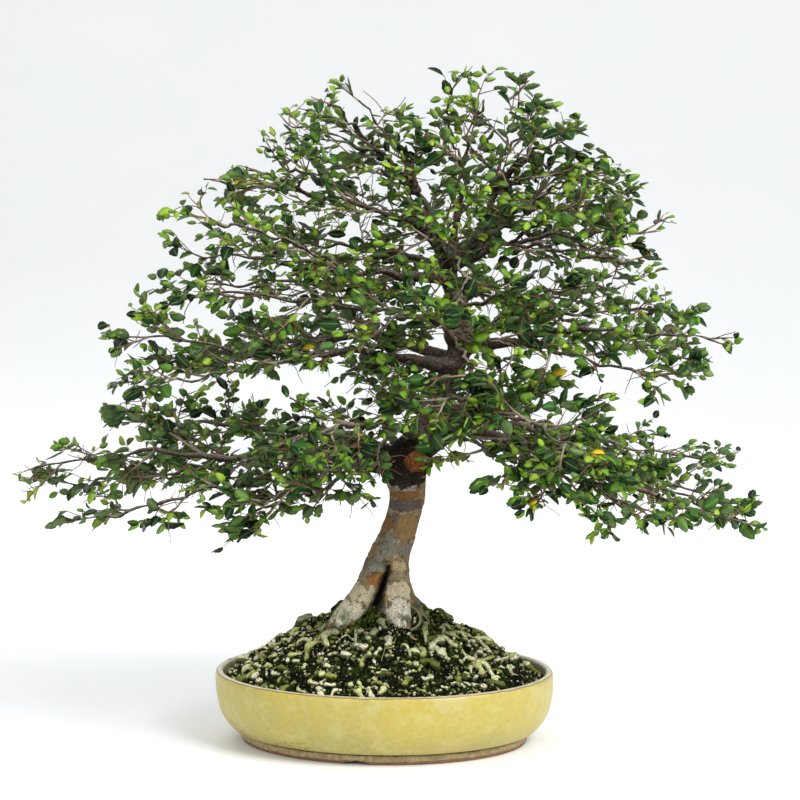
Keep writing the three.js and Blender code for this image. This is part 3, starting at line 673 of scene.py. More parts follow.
def notch_lift(x, y):
    """How far a bracket lifts the underside of the foot ring."""
    across = np.where(np.abs(y) > np.abs(x), x - NOTCH_OFFSET, y)
    share = np.abs(across) / NOTCH_HALF_WIDTH
    return NOTCH_HEIGHT * np.interp(share, [0, 0.12, 0.2, 0.75, 0.97, 1], [1, 0.8, 0.7, 0.62, 0.3, 0])


def pot_mesh():
    """The pot's body, laid ring by ring."""
    ring = np.linspace(0, 2 * math.pi, RING_POINTS + 1)[:-1]
    cuts = [math.atan2(side * FOOT_MIDDLE, NOTCH_OFFSET) for side in (1, -1)]
    close = [cut + d for cut in (*cuts, 0, math.pi) for d in np.linspace(-NEAR_CUT, NEAR_CUT, 25)]
    ring = np.unique(np.round(np.mod(np.concatenate([ring, close]), 2 * math.pi), 4))
    vertices = [(0, 0, profile[0][1]), (0, 0, profile[-1][1])]
    for radius, height, along_profile in profile[1:-1]:
        x = radius * np.cos(ring)
        y = radius * np.sin(ring)
        in_foot = FOOT_INSIDE < radius and along_profile < profile_at[FOOT_TOP]
        z = np.maximum(height, notch_lift(x, y)) if in_foot else np.full(len(ring), height)
        x, y = pot_oval(x, y)
        vertices.extend(zip(x, y, z))
    count = len(ring)
    rows = len(profile) - 2
    last = 2 + (rows - 1) * count
    faces = []
    for k in range(count):
        after = (k + 1) % count
        faces.append((0, 2 + after, 2 + k))
        faces.append((1, last + k, last + after))
        for low in range(2, last, count):
            faces.append((low + k, low + after, low + count + after, low + count + k))
    mesh = new_mesh("pot", vertices, faces)
    store(mesh, "along_profile", [0, profile_at[-1], *np.repeat(profile[1:-1, 2], count)])
    mesh.materials.append(glaze)
    return mesh


print("even points in a ring of the pot:", RING_POINTS)

# %% The pot with its drain holes
# The holes' radius, and how far each lies from the pot's middle, in millimetres
DRAIN_RADIUS = 8
DRAIN_SPACING = 52

pot_source = link_mesh("pot_source", pot_mesh())
drains = []
for side in (-1, 1):
    x, y = side * DRAIN_SPACING * math.cos(POT_TURN), side * DRAIN_SPACING * math.sin(POT_TURN)
    drains.append(tube([(x, y, 0), (x, y, 8), (x, y, 20)], [DRAIN_RADIUS] * 3, 48))
cutter = link_mesh("drill", new_mesh("drill", *together(drains)))
drill = pot_source.modifiers.new("drill", "BOOLEAN")
drill.operation = "DIFFERENCE"
drill.solver = "MANIFOLD"
drill.object = cutter
pot_body = plain(pot_source, "pot_body")
bpy.data.objects.remove(cutter)
pot_body.data.set_sharp_from_angle(angle=math.radians(38))
finish_piece(pot_body, "glaze", "pot")

# %% [markdown]
# ## The drain screens and their clips
# Under the soil lie two plastic screens that keep the grit in, each held by a bent wire. The measured
# model already has their true shape, so they stay as they are and only get better materials.

# %% Plastic and wire
plastic, tree, shader, place = new_material("black_moulded_plastic")
scuffs = use(tree, clouds, place=place, size=0.003, low=0.4, high=0.7).outputs[0]
scuffed = mix(tree, times(tree, scuffs, 0.5), srgb(24, 25, 24), srgb(58, 58, 54))
dress(tree, shader, scuffed, fade(tree, scuffs, 0.0, 1.0, 0.45, 0.75))
bump(tree, shader, noise(tree, place, 0.0006), 0.0002)

wire, tree, shader, place = new_material("dull_aluminium_wire")
oxide = use(tree, clouds, place=place, size=0.002, low=0.35, high=0.65).outputs[0]
plug(tree, shader.inputs["Base Color"], mix(tree, oxide, srgb(176, 178, 180), srgb(132, 128, 120)))
plug(tree, shader.inputs["Metallic"], fade(tree, oxide, 0.0, 1.0, 1.0, 0.6))
plug(tree, shader.inputs["Roughness"], fade(tree, oxide, 0.0, 1.0, 0.35, 0.65))
for side in ("left", "right"):
    frame["nodes"][f"drain_screen_{side}"].material_slots[0].material = plastic
    frame["nodes"][f"screen_clip_{side}"].material_slots[0].material = wire
print("measured meshes kept, with", plastic.name, "and", wire.name)

# %% [markdown]
# ## The mound
# The tree stands high on a mound of old roots and baked grit, dark and wet, green with moss in places.
# It is one surface that a formula gives: an oval dome whose edge meets the pot's wall just under the
# lip. The finer lumps come from Geometry Nodes, which push each point out along its normal by noise.
# It is a real displacement, and not a bump, because the mound's outline is seen against the light.

# %% Ground
# How wide the crumbs of the surface are, in metres
CRUMB_SIZE = 0.0052
ground, tree, shader, place = new_material("dark_wet_grit")
dull(shader)
coarse = noise(tree, place, 0.004, 6.0, 0.75)
dark = ramp(tree, coarse, [(0.38, srgb(5, 5, 4)), (0.54, srgb(15, 15, 10)), (0.7, srgb(44, 42, 30))])
grown = use(tree, moss, place=place, full_below=0.2, none_above=0.3, cover=0.46)
dark = mix(tree, grown.outputs["Mask"], dark, grown.outputs["Colour"])
# The same noise lifts the crumbs of the surface, so the pale crust lies only on what stands up
raised = fade(tree, noise(tree, place, CRUMB_SIZE, 3.0, 0.7), 0.48, 0.58)
crust = use(tree, specks, place=place, spacing=0.0017, share=0.6, width=0.4).outputs[0]
crust = times(tree, crust, raised)
dark = mix(tree, crust, dark, srgb(206, 210, 164))
dress(tree, shader, dark, fade(tree, coarse, 0.3, 0.7, 0.8, 0.98))
bump(tree, shader, coarse, 0.002)
print("material:", ground.name)

# %% The mound's surface
# The height of the dome's edge, its rise above that and its half lengths, in millimetres
SOIL_EDGE = 51
SOIL_RISE = 59
MOUND_HALF_LENGTH = 129
MOUND_HALF_WIDTH = 106
MOUND_PEAK_X = -3
MOUND_ROUNDNESS = 1.45
# The soil's outer radius and height, from its edge down the pot's wall to the floor
SOIL_WALL = [(129.3, 51), (126.5, 26), (118, 15), (109, 12.4)]


def mound_height(x, y):
    """The even dome's height at a place, in millimetres."""
    away = ((x - MOUND_PEAK_X) / MOUND_HALF_LENGTH) ** 2 + (y / MOUND_HALF_WIDTH) ** 2
    return SOIL_EDGE + SOIL_RISE * np.clip(1 - away, 0, 1) ** MOUND_ROUNDNESS


def mound_mesh(around=300, rings=84):
    """The dome with its wall and underside. Each point keeps how freely its lumps may rise."""
    ring = np.linspace(0, 2 * math.pi, around + 1)[:-1]
    vertices = [(0, 0, float(mound_height(0, 0))), (0, 0, SOIL_WALL[-1][1])]
    free = [1, 0]
    for share in np.linspace(0, 1, rings + 1)[1:]:
        radius = SOIL_WALL[0][0] * share
        x, y = pot_oval(radius * np.cos(ring), radius * np.sin(ring))
        vertices.extend(zip(x, y, mound_height(x, y)))
        free.extend([min(1, 12 * (1 - share))] * around)
    for radius, height in SOIL_WALL[1:]:
        x, y = pot_oval(radius * np.cos(ring), radius * np.sin(ring))
        vertices.extend(zip(x, y, np.full(around, height)))
        free.extend([0] * around)
    last = len(vertices) - around
    faces = []
    for k in range(around):
        after = (k + 1) % around
        faces.append((0, 2 + k, 2 + after))
        faces.append((1, last + after, last + k))
        for low in range(2, last, around):
            faces.append((low + after, low + k, low + around + k, low + around + after))
    mesh = new_mesh("mound", vertices, faces)
    store(mesh, "free", free)
    return mesh


print("mound's peak in millimetres:", round(float(mound_height(MOUND_PEAK_X, 0))))

# %% Lumps and crumbs
lumps, given, result = new_group(
    "Lumpy ground", "GeometryNodeTree",
    [("Mesh", "Geometry", None), ("Lump height", "Float", 0.006), ("Crumb height", "Float", 0.003),
     ("Finish", "Material", None)],
    [("Mesh", "Geometry")])
position = add(lumps, "GeometryNodeInputPosition").outputs[0]
free = stored(lumps, "free")
lump = calc(lumps, "SUBTRACT", noise(lumps, position, 0.016, 2.0), 0.5)
crumb = calc(lumps, "SUBTRACT", noise(lumps, position, CRUMB_SIZE, 3.0, 0.7), 0.5)
rise = calc(lumps, "ADD", times(lumps, lump, given["Lump height"]),
            times(lumps, crumb, given["Crumb height"]))
rise = times(lumps, times(lumps, rise, free), 2.0)
offset = stretch(lumps, add(lumps, "GeometryNodeInputNormal").outputs[0], rise)
moved = add(lumps, "GeometryNodeSetPosition", {"Geometry": given["Mesh"], "Offset": offset})
end_tree(lumps, moved.outputs[0], given, result)
mound = run_nodes(link_mesh("mound_source", mound_mesh()), "mound", lumps,
                  lump_height=0.008, crumb_height=0.0052, finish=ground)
mound_tree = BVHTree.FromObject(mound, bpy.context.evaluated_depsgraph_get())
finish_piece(mound, "soil", "soil")


def ground_at(x, y):
    """The ground's height at a place, in millimetres."""
    hit = mound_tree.ray_cast(Vector((x * MM, y * MM, 0.2)), Vector((0, 0, -1)))
    return hit[0].z / MM if hit[0] else float(mound_height(x, y))


# %% [markdown]
# ### What lies on the mound
# Thousands of grains lie on it: black and mossy baked clay, and pumice as pale as bone. Placing them by
# hand would take days, and a particle system would not survive the export. So one Geometry Nodes tree
# scatters any set of shapes over the ground: it spreads points that keep their distance, picks a shape
# for each, turns it, and stores a random number that the materials read as the shape's own tone.

# %% The scatter tree
scatter, given, result = new_group(
    "Scatter on the ground", "GeometryNodeTree",
    [("Ground", "Geometry", None), ("Shapes", "Collection", None), ("Mask", "String", "free"),
     ("Spacing", "Float", 0.003), ("Density", "Float", 60000.0), ("Smallest", "Float", 1.0),
     ("Largest", "Float", 2.0), ("Lean", "Float", 0.5), ("Turn", "Float", 3.14), ("Sunk", "Float", 0.0),
     ("Seed", "Int", 1), ("Finish", "Material", None)],
    [("Scattered", "Geometry")])
where = stored(scatter, given["Mask"])
points = add(scatter, "GeometryNodeDistributePointsOnFaces",
             {"Mesh": given["Ground"], "Distance Min": given["Spacing"],
              "Density Max": given["Density"], "Density Factor": where,
              "Seed": given["Seed"]}, distribute_method="POISSON")
position = add(scatter, "GeometryNodeInputPosition").outputs[0]
outward = shift(scatter, position, (1.0, 1.0, 0.0), "MULTIPLY")
turned = add(scatter, "FunctionNodeAxesToRotation", {0: points.outputs["Normal"], 1: outward},
             primary_axis="Z", secondary_axis="X").outputs[0]
lean = given["Lean"]
turn = given["Turn"]
most = add(scatter, "ShaderNodeCombineXYZ", {0: lean, 1: lean, 2: turn}).outputs[0]
least = stretch(scatter, most, -1.0)
euler = add(scatter, "FunctionNodeRandomValue", {0: least, 1: most, 8: given["Seed"]},
            data_type="FLOAT_VECTOR").outputs[0]
spin = add(scatter, "FunctionNodeEulerToRotation", {0: euler}).outputs[0]
turned = add(scatter, "FunctionNodeRotateRotation", {0: turned, 1: spin}, rotation_space="LOCAL").outputs[0]
# A power of the chance makes small shapes common and large ones rare
chance = add(scatter, "FunctionNodeRandomValue", {2: 0.0, 3: 1.0, 8: 11}, data_type="FLOAT").outputs[1]
size = add(scatter, "ShaderNodeMapRange", {0: calc(scatter, "POWER", chance, 2.2),
                                           3: given["Smallest"], 4: given["Largest"]})
shapes = add(scatter, "GeometryNodeCollectionInfo", {0: given["Shapes"], 1: True, 2: True})
depth = times(scatter, given["Sunk"], -1.0)
sunk = stretch(scatter, points.outputs["Normal"], depth)
seated = add(scatter, "GeometryNodeSetPosition", {"Geometry": points.outputs["Points"], "Offset": sunk})
copies = add(scatter, "GeometryNodeInstanceOnPoints",
             {"Points": seated.outputs[0], "Instance": shapes.outputs[0], "Pick Instance": True,
              "Rotation": turned, "Scale": size.outputs[0]})
tone = add(scatter, "FunctionNodeRandomValue", {2: 0.0, 3: 1.0, 8: 5}, data_type="FLOAT").outputs[1]
toned = add(scatter, "GeometryNodeStoreNamedAttribute",
            {"Geometry": copies.outputs[0], "Name": "tone", "Value": tone}, data_type="FLOAT",
            domain="INSTANCE")
end_tree(scatter, toned.outputs[0], given, result)
print("scatter tree with", len(scatter.nodes), "nodes")


# %% Where things grow on the mound
def mask(name, rule):
    """Stores on the ground how likely something is at each point, from 0 to 1."""
    values = []
    for vertex in mound.data.vertices:
        x, y, z = vertex.co / MM
        on_top = z > SOIL_EDGE - 5 and math.hypot(x, y) < 127
        values.append(max(0.0, min(1.0, rule(x, y, z))) if on_top else 0.0)
    store(mound.data, name, values)


def near_trunk(x, y):
    """1 at the trunk's foot, fading to 0 some 70 mm away."""
    return max(0.0, 1 - math.hypot(x, y * 1.15) / 72)


def above_dome(x, y, z):
    """How far a point stands above the even dome, in millimetres."""
    return z - float(mound_height(x, y))


mask("grit_here", lambda x, y, z: (0.6 + 0.35 * above_dome(x, y, z) - 1.4 * near_trunk(x, y)
                                   + 1.4 * cloud_at((x / 11, y / 11, 7.0))))
mask("moss_here", lambda x, y, z: 3.2 * (cloud_at((x / 17, y / 17, z / 17)) + 0.08
                                         + 0.5 * near_trunk(x, y)))
mask("root_here", lambda x, y, z: (0.9 + cloud_at((x / 21, y / 21, 3.0)) - 2.2 * near_trunk(x, y)
                                   if z > SOIL_EDGE + 2 else 0.1))
mask("litter_here", lambda x, y, z: 0.25 + 0.75 * (math.hypot(x, y * 1.2) > 96))
print("masks stored on the mound")


# %% Grit
def scatter_on_mound(name, shapes, **settings):
    """Scatters shapes over the ground, as one finished piece."""
    source = link_mesh(name + "_source", mound.data.copy())
    piece = run_nodes(source, name, scatter, shapes=shapes, **settings)
    empty_box(shapes)
    finish_piece(piece, "soil")


def pebble(rng):
    """A faceted grain about 1 mm across: a body of twenty faces with its corners moved."""
    g = (1 + 5 ** 0.5) / 2
    corners = np.array([(-1, g, 0), (1, g, 0), (-1, -g, 0), (1, -g, 0), (0, -1, g), (0, 1, g),
                        (0, -1, -g), (0, 1, -g), (g, 0, -1), (g, 0, 1), (-g, 0, -1), (-g, 0, 1)])
    corners = corners * (0.30, 0.26, 0.2) * np.array([[rng.uniform(0.75, 1.15)] for _ in corners])
    faces = [(0, 11, 5), (0, 5, 1), (0, 1, 7), (0, 7, 10), (0, 10, 11), (1, 5, 9), (5, 11, 4),
             (11, 10, 2), (10, 7, 6), (7, 1, 8), (3, 9, 4), (3, 4, 2), (3, 2, 6), (3, 6, 8), (3, 8, 9),
             (4, 9, 5), (2, 4, 11), (6, 2, 10), (8, 6, 7), (9, 8, 1)]
    return new_mesh("pebble", corners, faces, smooth=False)


stone, tree, shader, place = new_material("pumice_and_baked_clay")
dull(shader)
tone = attribute(tree, "tone")
kinds = ramp(tree, tone, [
    (0.0, srgb(8, 8, 6)), (0.32, srgb(18, 17, 12)), (0.46, srgb(44, 46, 28)), (0.6, srgb(96, 102, 58)),
    (0.76, srgb(156, 162, 106)), (0.9, srgb(220, 220, 178)), (1.0, srgb(242, 238, 216))])
pits = noise(tree, place, 0.0007, 3.0, 0.7)
kinds = mix(tree, fade(tree, pits, 0.42, 0.6, 0.5, 0.0), kinds, srgb(40, 36, 26))
grown = use(tree, moss, place=place, full_below=0.2, none_above=0.3, cover=0.34)
dress(tree, shader, mix(tree, grown.outputs["Mask"], kinds, grown.outputs["Colour"]),
      fade(tree, pits, 0.3, 0.7, 0.95, 0.75))
bump(tree, shader, pits, 0.0004)

rng = random.Random(21)
pebbles = shape_box("pebbles", [pebble(rng) for _ in range(5)])
scatter_on_mound("grit", pebbles, mask="grit_here", spacing=0.0017, density=190000.0, smallest=1.2,
                 largest=4.2, lean=3.0, turn=3.1, sunk=-0.0002, seed=3, finish=stone)

# %% [markdown]
# ### Moss, root ends and dry bits
# Moss is thousands of tiny upright shoots, so its shape is only a thin pyramid, and the scatter tree
# crowds it where a mask says that the mound is green. The pale worms and knobs that stick out are the
# ends of old roots. They come in a few bent and knobbly shapes that point more or less downhill, as
# water has bared them. Straws and crumpled bits of old leaf lie loose on top.

# %% Moss shoots
moss_green, tree, shader, place = new_material("moss_shoots")
dull(shader)
tone = attribute(tree, "tone")
shade = use(tree, clouds, place=place, size=0.012, low=0.35, high=0.65).outputs[0]
shoots = mix(tree, tone, srgb(22, 36, 12), srgb(72, 98, 26))
lively = fade(tree, part_of(tree, place, 2), 0.080, 0.100)
lively = times(tree, lively, fade(tree, shade, 0.0, 1.0, 0.3, 0.9))
shoots = mix(tree, lively, shoots, srgb(120, 144, 34))
dress(tree, shader, shoots, fade(tree, shade, 0.0, 1.0, 0.8, 0.65))

shoot_points = [(-0.24, -0.2, -0.3), (0.24, -0.2, -0.3), (0, 0.3, -0.3), (0.08, 0.04, 1.0)]
shoot = new_mesh("shoot", shoot_points, [(0, 2, 1), (0, 1, 3), (1, 2, 3), (2, 0, 3)], smooth=False)
shoots = shape_box("shoots", [shoot])
scatter_on_mound("moss_shoots", shoots, mask="moss_here", spacing=0.0010, density=560000.0, smallest=1.1,
                 largest=2.7, lean=0.5, turn=3.1, sunk=0.0, seed=8, finish=moss_green)

# %% Root bark
root_bark, tree, shader, place = new_material("bleached_root_bark")
dull(shader)
tone = attribute(tree, "tone")
pale = ramp(tree, tone, [
    (0.0, srgb(72, 80, 38)), (0.22, srgb(156, 164, 84)), (0.45, srgb(220, 222, 154)),
    (1.0, srgb(246, 242, 212))])
streaks = noise(tree, place, 0.0018, 5.0, 0.7)
pale = mix(tree, fade(tree, streaks, 0.5, 0.66), pale, srgb(96, 100, 50))
pale = mix(tree, fade(tree, streaks, 0.38, 0.45, 0.9, 0.0), pale, srgb(26, 23, 14))
# Faces that turn down are darkened towards black green: painted shade under the roots
under = part_of(tree, add(tree, "ShaderNodeNewGeometry").outputs["Normal"], 2)
pale = mix(tree, fade(tree, under, -0.2, 0.55, 0.85, 0.0), pale, srgb(30, 32, 16))
crumbs = use(tree, specks, place=place, spacing=0.0017, share=0.4, width=0.4).outputs[0]
crusted = use(tree, clouds, place=place, size=0.005, low=0.42, high=0.56).outputs[0]
crumbs = times(tree, crumbs, crusted)
pale = mix(tree, crumbs, pale, srgb(20, 20, 12))
grown = use(tree, moss, place=place, full_below=0.2, none_above=0.3, cover=0.37)
near_top = fade(tree, part_of(tree, place, 2), 0.084, 0.100, 0.0, 0.7)
mossed = calc(tree, "MAXIMUM", grown.outputs["Mask"], near_top)
dress(tree, shader, mix(tree, mossed, pale, grown.outputs["Colour"]),
      fade(tree, streaks, 0.3, 0.7, 0.6, 0.85))
bump(tree, shader, streaks, 0.0005)
print("material:", root_bark.name)

# %% Root ends
# Each root end's line, in millimetres: x points downhill and z stands off the ground
ROOT_ENDS = [
    [(-5, 0, -3), (-3, 0.5, 1.0), (0, 0, 2.4), (3.5, -0.6, 1.6), (6, 0.4, -1.4)],
    [(-3, -1, -3), (-1.8, 0, 0.8), (0.6, 0.6, 2.2), (2.4, 0.2, 2.0), (3.2, -0.2, 1.0)],
    [(-6, 1, -2.5), (-3.5, 0, 0.6), (0, -1.5, 1.4), (4, -0.4, 1.0), (8, 1.8, -1.6)],
    [(-1.5, 0, -3), (-0.6, 0, 0.2), (0.4, 0.2, 1.8), (1.0, 0.2, 2.8)],
    [(-2.5, -1.5, -2.5), (-1, -0.5, 0.6), (1, 1, 0.9), (2.6, 2.4, -0.6)],
]
ROOT_END_RADIUS = 2.3
KNOB_HEIGHT = 0.34


def any_vector(rng, most=1):
    """Three random numbers, each from -most to most."""
    return np.array([rng.uniform(-most, most) for _ in range(3)])


def root_end(points, rng):
    """A swollen, knobbly tube with a blunt tip."""
    line = smooth_line(points, 1.5)
    share = np.linspace(0, 1, len(line))
    radii = ROOT_END_RADIUS * (1 - 0.3 * share) * (1 + 0.3 * np.sin(13 * share + rng.uniform(0, 6)))
    radii *= np.sqrt(np.clip((1 - share) * 7, 0.2, 1))
    vertices, faces = tube(line, radii, 6)
    return new_mesh("root_end", [vertex + any_vector(rng, KNOB_HEIGHT) for vertex in vertices], faces)


root_shapes = shape_box("root_shapes", [root_end(points, rng) for points in ROOT_ENDS])
scatter_on_mound("root_ends", root_shapes, mask="root_here", spacing=0.0051, density=31000.0,
                 smallest=0.55, largest=1.7, lean=0.6, turn=1.3, sunk=0.0006, seed=12, finish=root_bark)

# %% [markdown]
# ### Roots that run over the mound
# A few old roots lie on the surface for most of its slope, and small ones loop out of the ground beside
# the trunk. They are swept tubes whose height is taken from the ground under them, so they never float.
# One more hangs from the right front leg in an open loop, so its line is given with its height.

# %% Long roots
# Places on the mound in millimetres, then the thickness at both ends
LONG_ROOTS = [
    ([(42, -36), (56, -40), (72, -46), (85, -50), (90, -64)], 2.3, 2.7),
    ([(56, -8), (70, -11), (84, -16), (94, -26)], 2.1, 2.0),
    ([(46, -18), (58, -22), (70, -30)], 1.8, 1.4),
    ([(-38, -40), (-54, -42), (-70, -38)], 2.4, 1.6),
    ([(36, 38), (56, 50), (70, 62), (78, 74)], 2.5, 1.4),
    ([(-34, 44), (-52, 52), (-66, 66), (-72, 78)], 2.4, 1.4),
    ([(2, 56), (4, 70), (-2, 84), (2, 96)], 2.2, 1.3),
]
# The thin root that hangs in a loop from the right front leg, in millimetres
FOOT_LOOP = [(18, -22, 112), (25, -27, 110), (29, -32, 105), (28, -37, 99.5), (21, -41, 95)]
# Place and height of the small loops, in millimetres
ROOT_LOOPS = [(30, -40, 6.5), (26, -26, 5), (-22, -46, 6), (14, -56, 5.5), (-44, -26, 5), (40, 8, 6),
              (-30, 34, 6)]
LOOP_POINTS = 12


def laid_line(places, lift, step):
    """A line over the ground through a few places."""
    flat = smooth_line([(x, y, 0) for x, y in places], step)
    return np.array([(x, y, ground_at(x, y) + lift) for x, y, _ in flat])


def loop_line(x, y, tall, swing):
    """A root that leaves the ground and returns to it further downhill."""
    way = math.atan2(y, x) + swing
    line = []
    for t in np.linspace(0, math.pi, LOOP_POINTS):
        out = tall * (1 - math.cos(t))
        line.append((x + out * math.cos(way), y + out * math.sin(way),
                     ground_at(x, y) - 2.5 + (tall + 2) * math.sin(t) - 0.35 * out))
    return line


rng = random.Random(4)
parts = []
for places, thick, thin in LONG_ROOTS:
    line = laid_line(places, 0.6, 1.8)
    share = np.linspace(0, 1, len(line))
    # The root rises and sinks a little, and both ends dive into the ground
    line[:, 2] += 1.9 * np.sin(share * 11 + rng.uniform(0, 6)) - 4 * (share > 0.97) - 3 * (share < 0.03)
    line[1:-1] = (line[:-2] + line[1:-1] + line[2:]) / 3
    radii = (thick + (thin - thick) * share) * (1 + 0.12 * np.sin(share * 31 + rng.uniform(0, 6)))
    parts.append(tube(line, radii, 9))
for x, y, tall in ROOT_LOOPS:
    line = loop_line(x, y, tall, rng.uniform(-0.7, 0.7))
    parts.append(tube(line, np.linspace(1.5, 1.1, LOOP_POINTS), 8))
hanging = smooth_line(FOOT_LOOP, 1.8)
parts.append(tube(hanging, np.linspace(1.4, 1.2, len(hanging)), 9))
long_roots = link_mesh("long_roots", new_mesh("long_roots", *together(parts)))
# One even tone, from the paler half of the root colours
store(long_roots.data, "tone", [0.6] * len(long_roots.data.vertices))
long_roots.data.materials.append(root_bark)
finish_piece(long_roots, "soil")

# %% Straws and bits of dead leaf
straw, tree, shader, place = new_material("dry_straw_and_leaf_bits")
dull(shader)
tone = attribute(tree, "tone")
fibre = noise(tree, place, 0.001, 4.0)
dry = mix(tree, tone, srgb(92, 58, 38), srgb(196, 182, 132))
dry = mix(tree, fade(tree, fibre, 0.35, 0.6, 0.5, 0.0), dry, srgb(60, 42, 28))
dress(tree, shader, dry, fade(tree, fibre, 0.3, 0.7, 0.6, 0.85))

STRAW_COUNT = 16
# Half length and half width of the oval that they lie in
STRAW_OVAL = (92, 76)
parts = []
tones = []
for _ in range(STRAW_COUNT):
    turn = rng.uniform(0, 2 * math.pi)
    x = STRAW_OVAL[0] * math.cos(turn) * rng.uniform(0.5, 1)
    y = STRAW_OVAL[1] * math.sin(turn) * rng.uniform(0.5, 1)
    bend = turn + rng.uniform(-1.4, 1.4)
    length = rng.uniform(8, 26)
    places = [(x + math.cos(bend + 0.3 * s) * length * s, y + math.sin(bend + 0.3 * s) * length * s)
              for s in (0, 0.33, 0.66, 1)]
    line = laid_line(places, 1.0, 2.2)
    parts.append(tube(line, np.full(len(line), rng.uniform(0.3, 0.5)), 5))
    tones.extend([rng.uniform(0.5, 1)] * len(line) * 5)
straws = link_mesh("straws", new_mesh("straws", *together(parts)))
store(straws.data, "tone", tones)
straws.data.materials.append(straw)
finish_piece(straws, "soil")

# A dead leaf bit is a crumpled plate 0.3 mm thick
crumple = [(-3, -1.2, 0.3), (0, -2.0, -0.2), (3.2, -0.4, 0.6), (-2.6, 1.4, 0.9), (0.4, 1.9, 0.2),
           (3.0, 1.0, 1.2)]
crumple += [(x, y, z + 0.3) for x, y, z in crumple]
crumple_faces = [(0, 3, 4, 1), (1, 4, 5, 2), (6, 7, 10, 9), (7, 8, 11, 10), (0, 1, 7, 6), (1, 2, 8, 7),
                 (2, 5, 11, 8), (5, 4, 10, 11), (4, 3, 9, 10), (3, 0, 6, 9)]
bits = shape_box("bits", [new_mesh("bit", crumple, crumple_faces)])
scatter_on_mound("dead_leaf_bits", bits, mask="litter_here", spacing=0.009, density=2600.0, smallest=0.5,
                 largest=1.3, lean=0.35, turn=3.1, sunk=-0.0008, seed=31, finish=straw)

# %% [markdown]
# ## The trunk
# The trunk rises in a slow curve from six spreading root legs, past an old cut whose face is healing
# over, to where the great limbs part. Wood flows from one into the other without a seam. Modelling that
# by hand is slow, so the trunk, the legs, the first stretch of each limb, the burl and the swollen rim of
# the cut are swept as tubes that overlap, and a voxel Remesh melts them into one skin.

# %% [markdown]
# ### Its bark
# Chinese elm bark flakes off in round plates, so old grey bark, tan new bark and orange fresh patches
# lie side by side with dark edges. The plates come from Voronoi cells whose coordinates are pushed about
# by noise. The same cells also raise the mesh later, so the function takes any tree of nodes. The large
# patches on the front of the trunk are placed one by one, because they are what one knows it by.

# %% The plates of the bark
# How wide a plate is, in metres
PLATE_SIZE = 0.0125


def bark_plates(tree, place):
    """The plate's own random number, and how near its edge a point lies, from 0 at the edge."""
    push = noise(tree, place, 0.006, 3.0, output="Color")
    push = stretch(tree, shift(tree, push, (0.5, 0.5, 0.5), "SUBTRACT"), 0.007)
    flat = shift(tree, shift(tree, place, push), (1.0, 1.0, 0.62), "MULTIPLY")
    number = part_of(tree, cells(tree, flat, PLATE_SIZE).outputs["Color"], 0)
    edge = cells(tree, flat, PLATE_SIZE, "DISTANCE_TO_EDGE").outputs["Distance"]
    return number, edge


print("plates in millimetres:", PLATE_SIZE / MM)

# %% The trunk's own marks
# Centre and half size in millimetres, and the colour
TRUNK_MARKS = [
    ((18, -12, 173), (12, 14, 12), srgb(140, 114, 74)),
    ((1, -10, 176), (5, 12, 9), srgb(134, 100, 64)),
    ((4, -12, 158), (8, 12, 12), srgb(132, 128, 114)),
    ((19, -12, 155), (9, 13, 6), srgb(124, 116, 108)),
    ((10, -13, 143), (8.5, 12, 8), srgb(190, 170, 130)),
    ((-6, -12, 144), (7.5, 12, 7.5), srgb(144, 140, 126)),
    ((17, -12, 192), (17, 15, 5.5), srgb(96, 86, 80)),
    ((16, -14, 200), (16, 14, 3.6), srgb(128, 90, 54)),
    ((17, -16, 206), (9, 12, 3), srgb(146, 140, 134)),
    ((-7, -16, 133), (9, 12, 5.8), srgb(150, 106, 62)),
    ((12, -26, 124), (10, 16, 10), srgb(206, 192, 160)),
    ((12, -32, 108), (11, 20, 12), srgb(216, 210, 190)),
    ((-18, -20, 121), (12, 14, 10), srgb(190, 180, 150)),
    ((-30, -26, 107), (15, 18, 12), srgb(200, 195, 168)),
]
# The old cut, in millimetres
SCAR_CENTRE = (26, -15.5, 227)
SCAR_RADIUS = 10.5
print("placed marks:", len(TRUNK_MARKS))

# %% Young bark on the trunk
bark, tree, shader, place = new_material("flaking_elm_bark")
dull(shader, 0.08)
number, edge = bark_plates(tree, place)
height = part_of(tree, place, 2)
grain = noise(tree, place, 0.0016, 5.0, 0.7)
plates = ramp(tree, number, [
    (0.05, srgb(108, 102, 90)), (0.3, srgb(130, 124, 106)), (0.5, srgb(142, 126, 94)),
    (0.7, srgb(134, 108, 74)), (0.95, srgb(118, 110, 94))])
flakes = use(tree, clouds, place=place, size=0.007, low=0.5, high=0.56).outputs[0]
plates = mix(tree, times(tree, flakes, 0.6), plates, srgb(170, 152, 118))
seams = 0.0
for centre, half, tint in TRUNK_MARKS:
    spot = use(tree, patch, place=place, centre=[MM * c for c in centre], half_size=[MM * h for h in half])
    plates = mix(tree, spot.outputs["Mask"], plates, tint)
    seams = calc(tree, "MAXIMUM", seams, spot.outputs["Edge"])
print("young bark mixed with", len(tree.nodes), "nodes")

# %% Old bark, cracks and the face of the cut
# Old bark is paler where it faces up and darker where it faces down: painted light and shade on top of its
# grain
upward = part_of(tree, add(tree, "ShaderNodeNewGeometry").outputs["Normal"], 2)
grain_and_lit_tops = calc(tree, "ADD", grain, times(tree, upward, 0.28))
old = ramp(tree, grain_and_lit_tops, [
    (0.22, srgb(26, 20, 17)), (0.46, srgb(66, 56, 48)), (0.68, srgb(128, 119, 106)),
    (0.9, srgb(164, 156, 142))])
# A near-black patch round the fork where the limbs part: painted shade under the crown
fork_shade = use(tree, patch, place=place, centre=(0.012, -0.012, 0.226), half_size=(0.03, 0.028, 0.02),
              ragged=0.3).outputs[0]
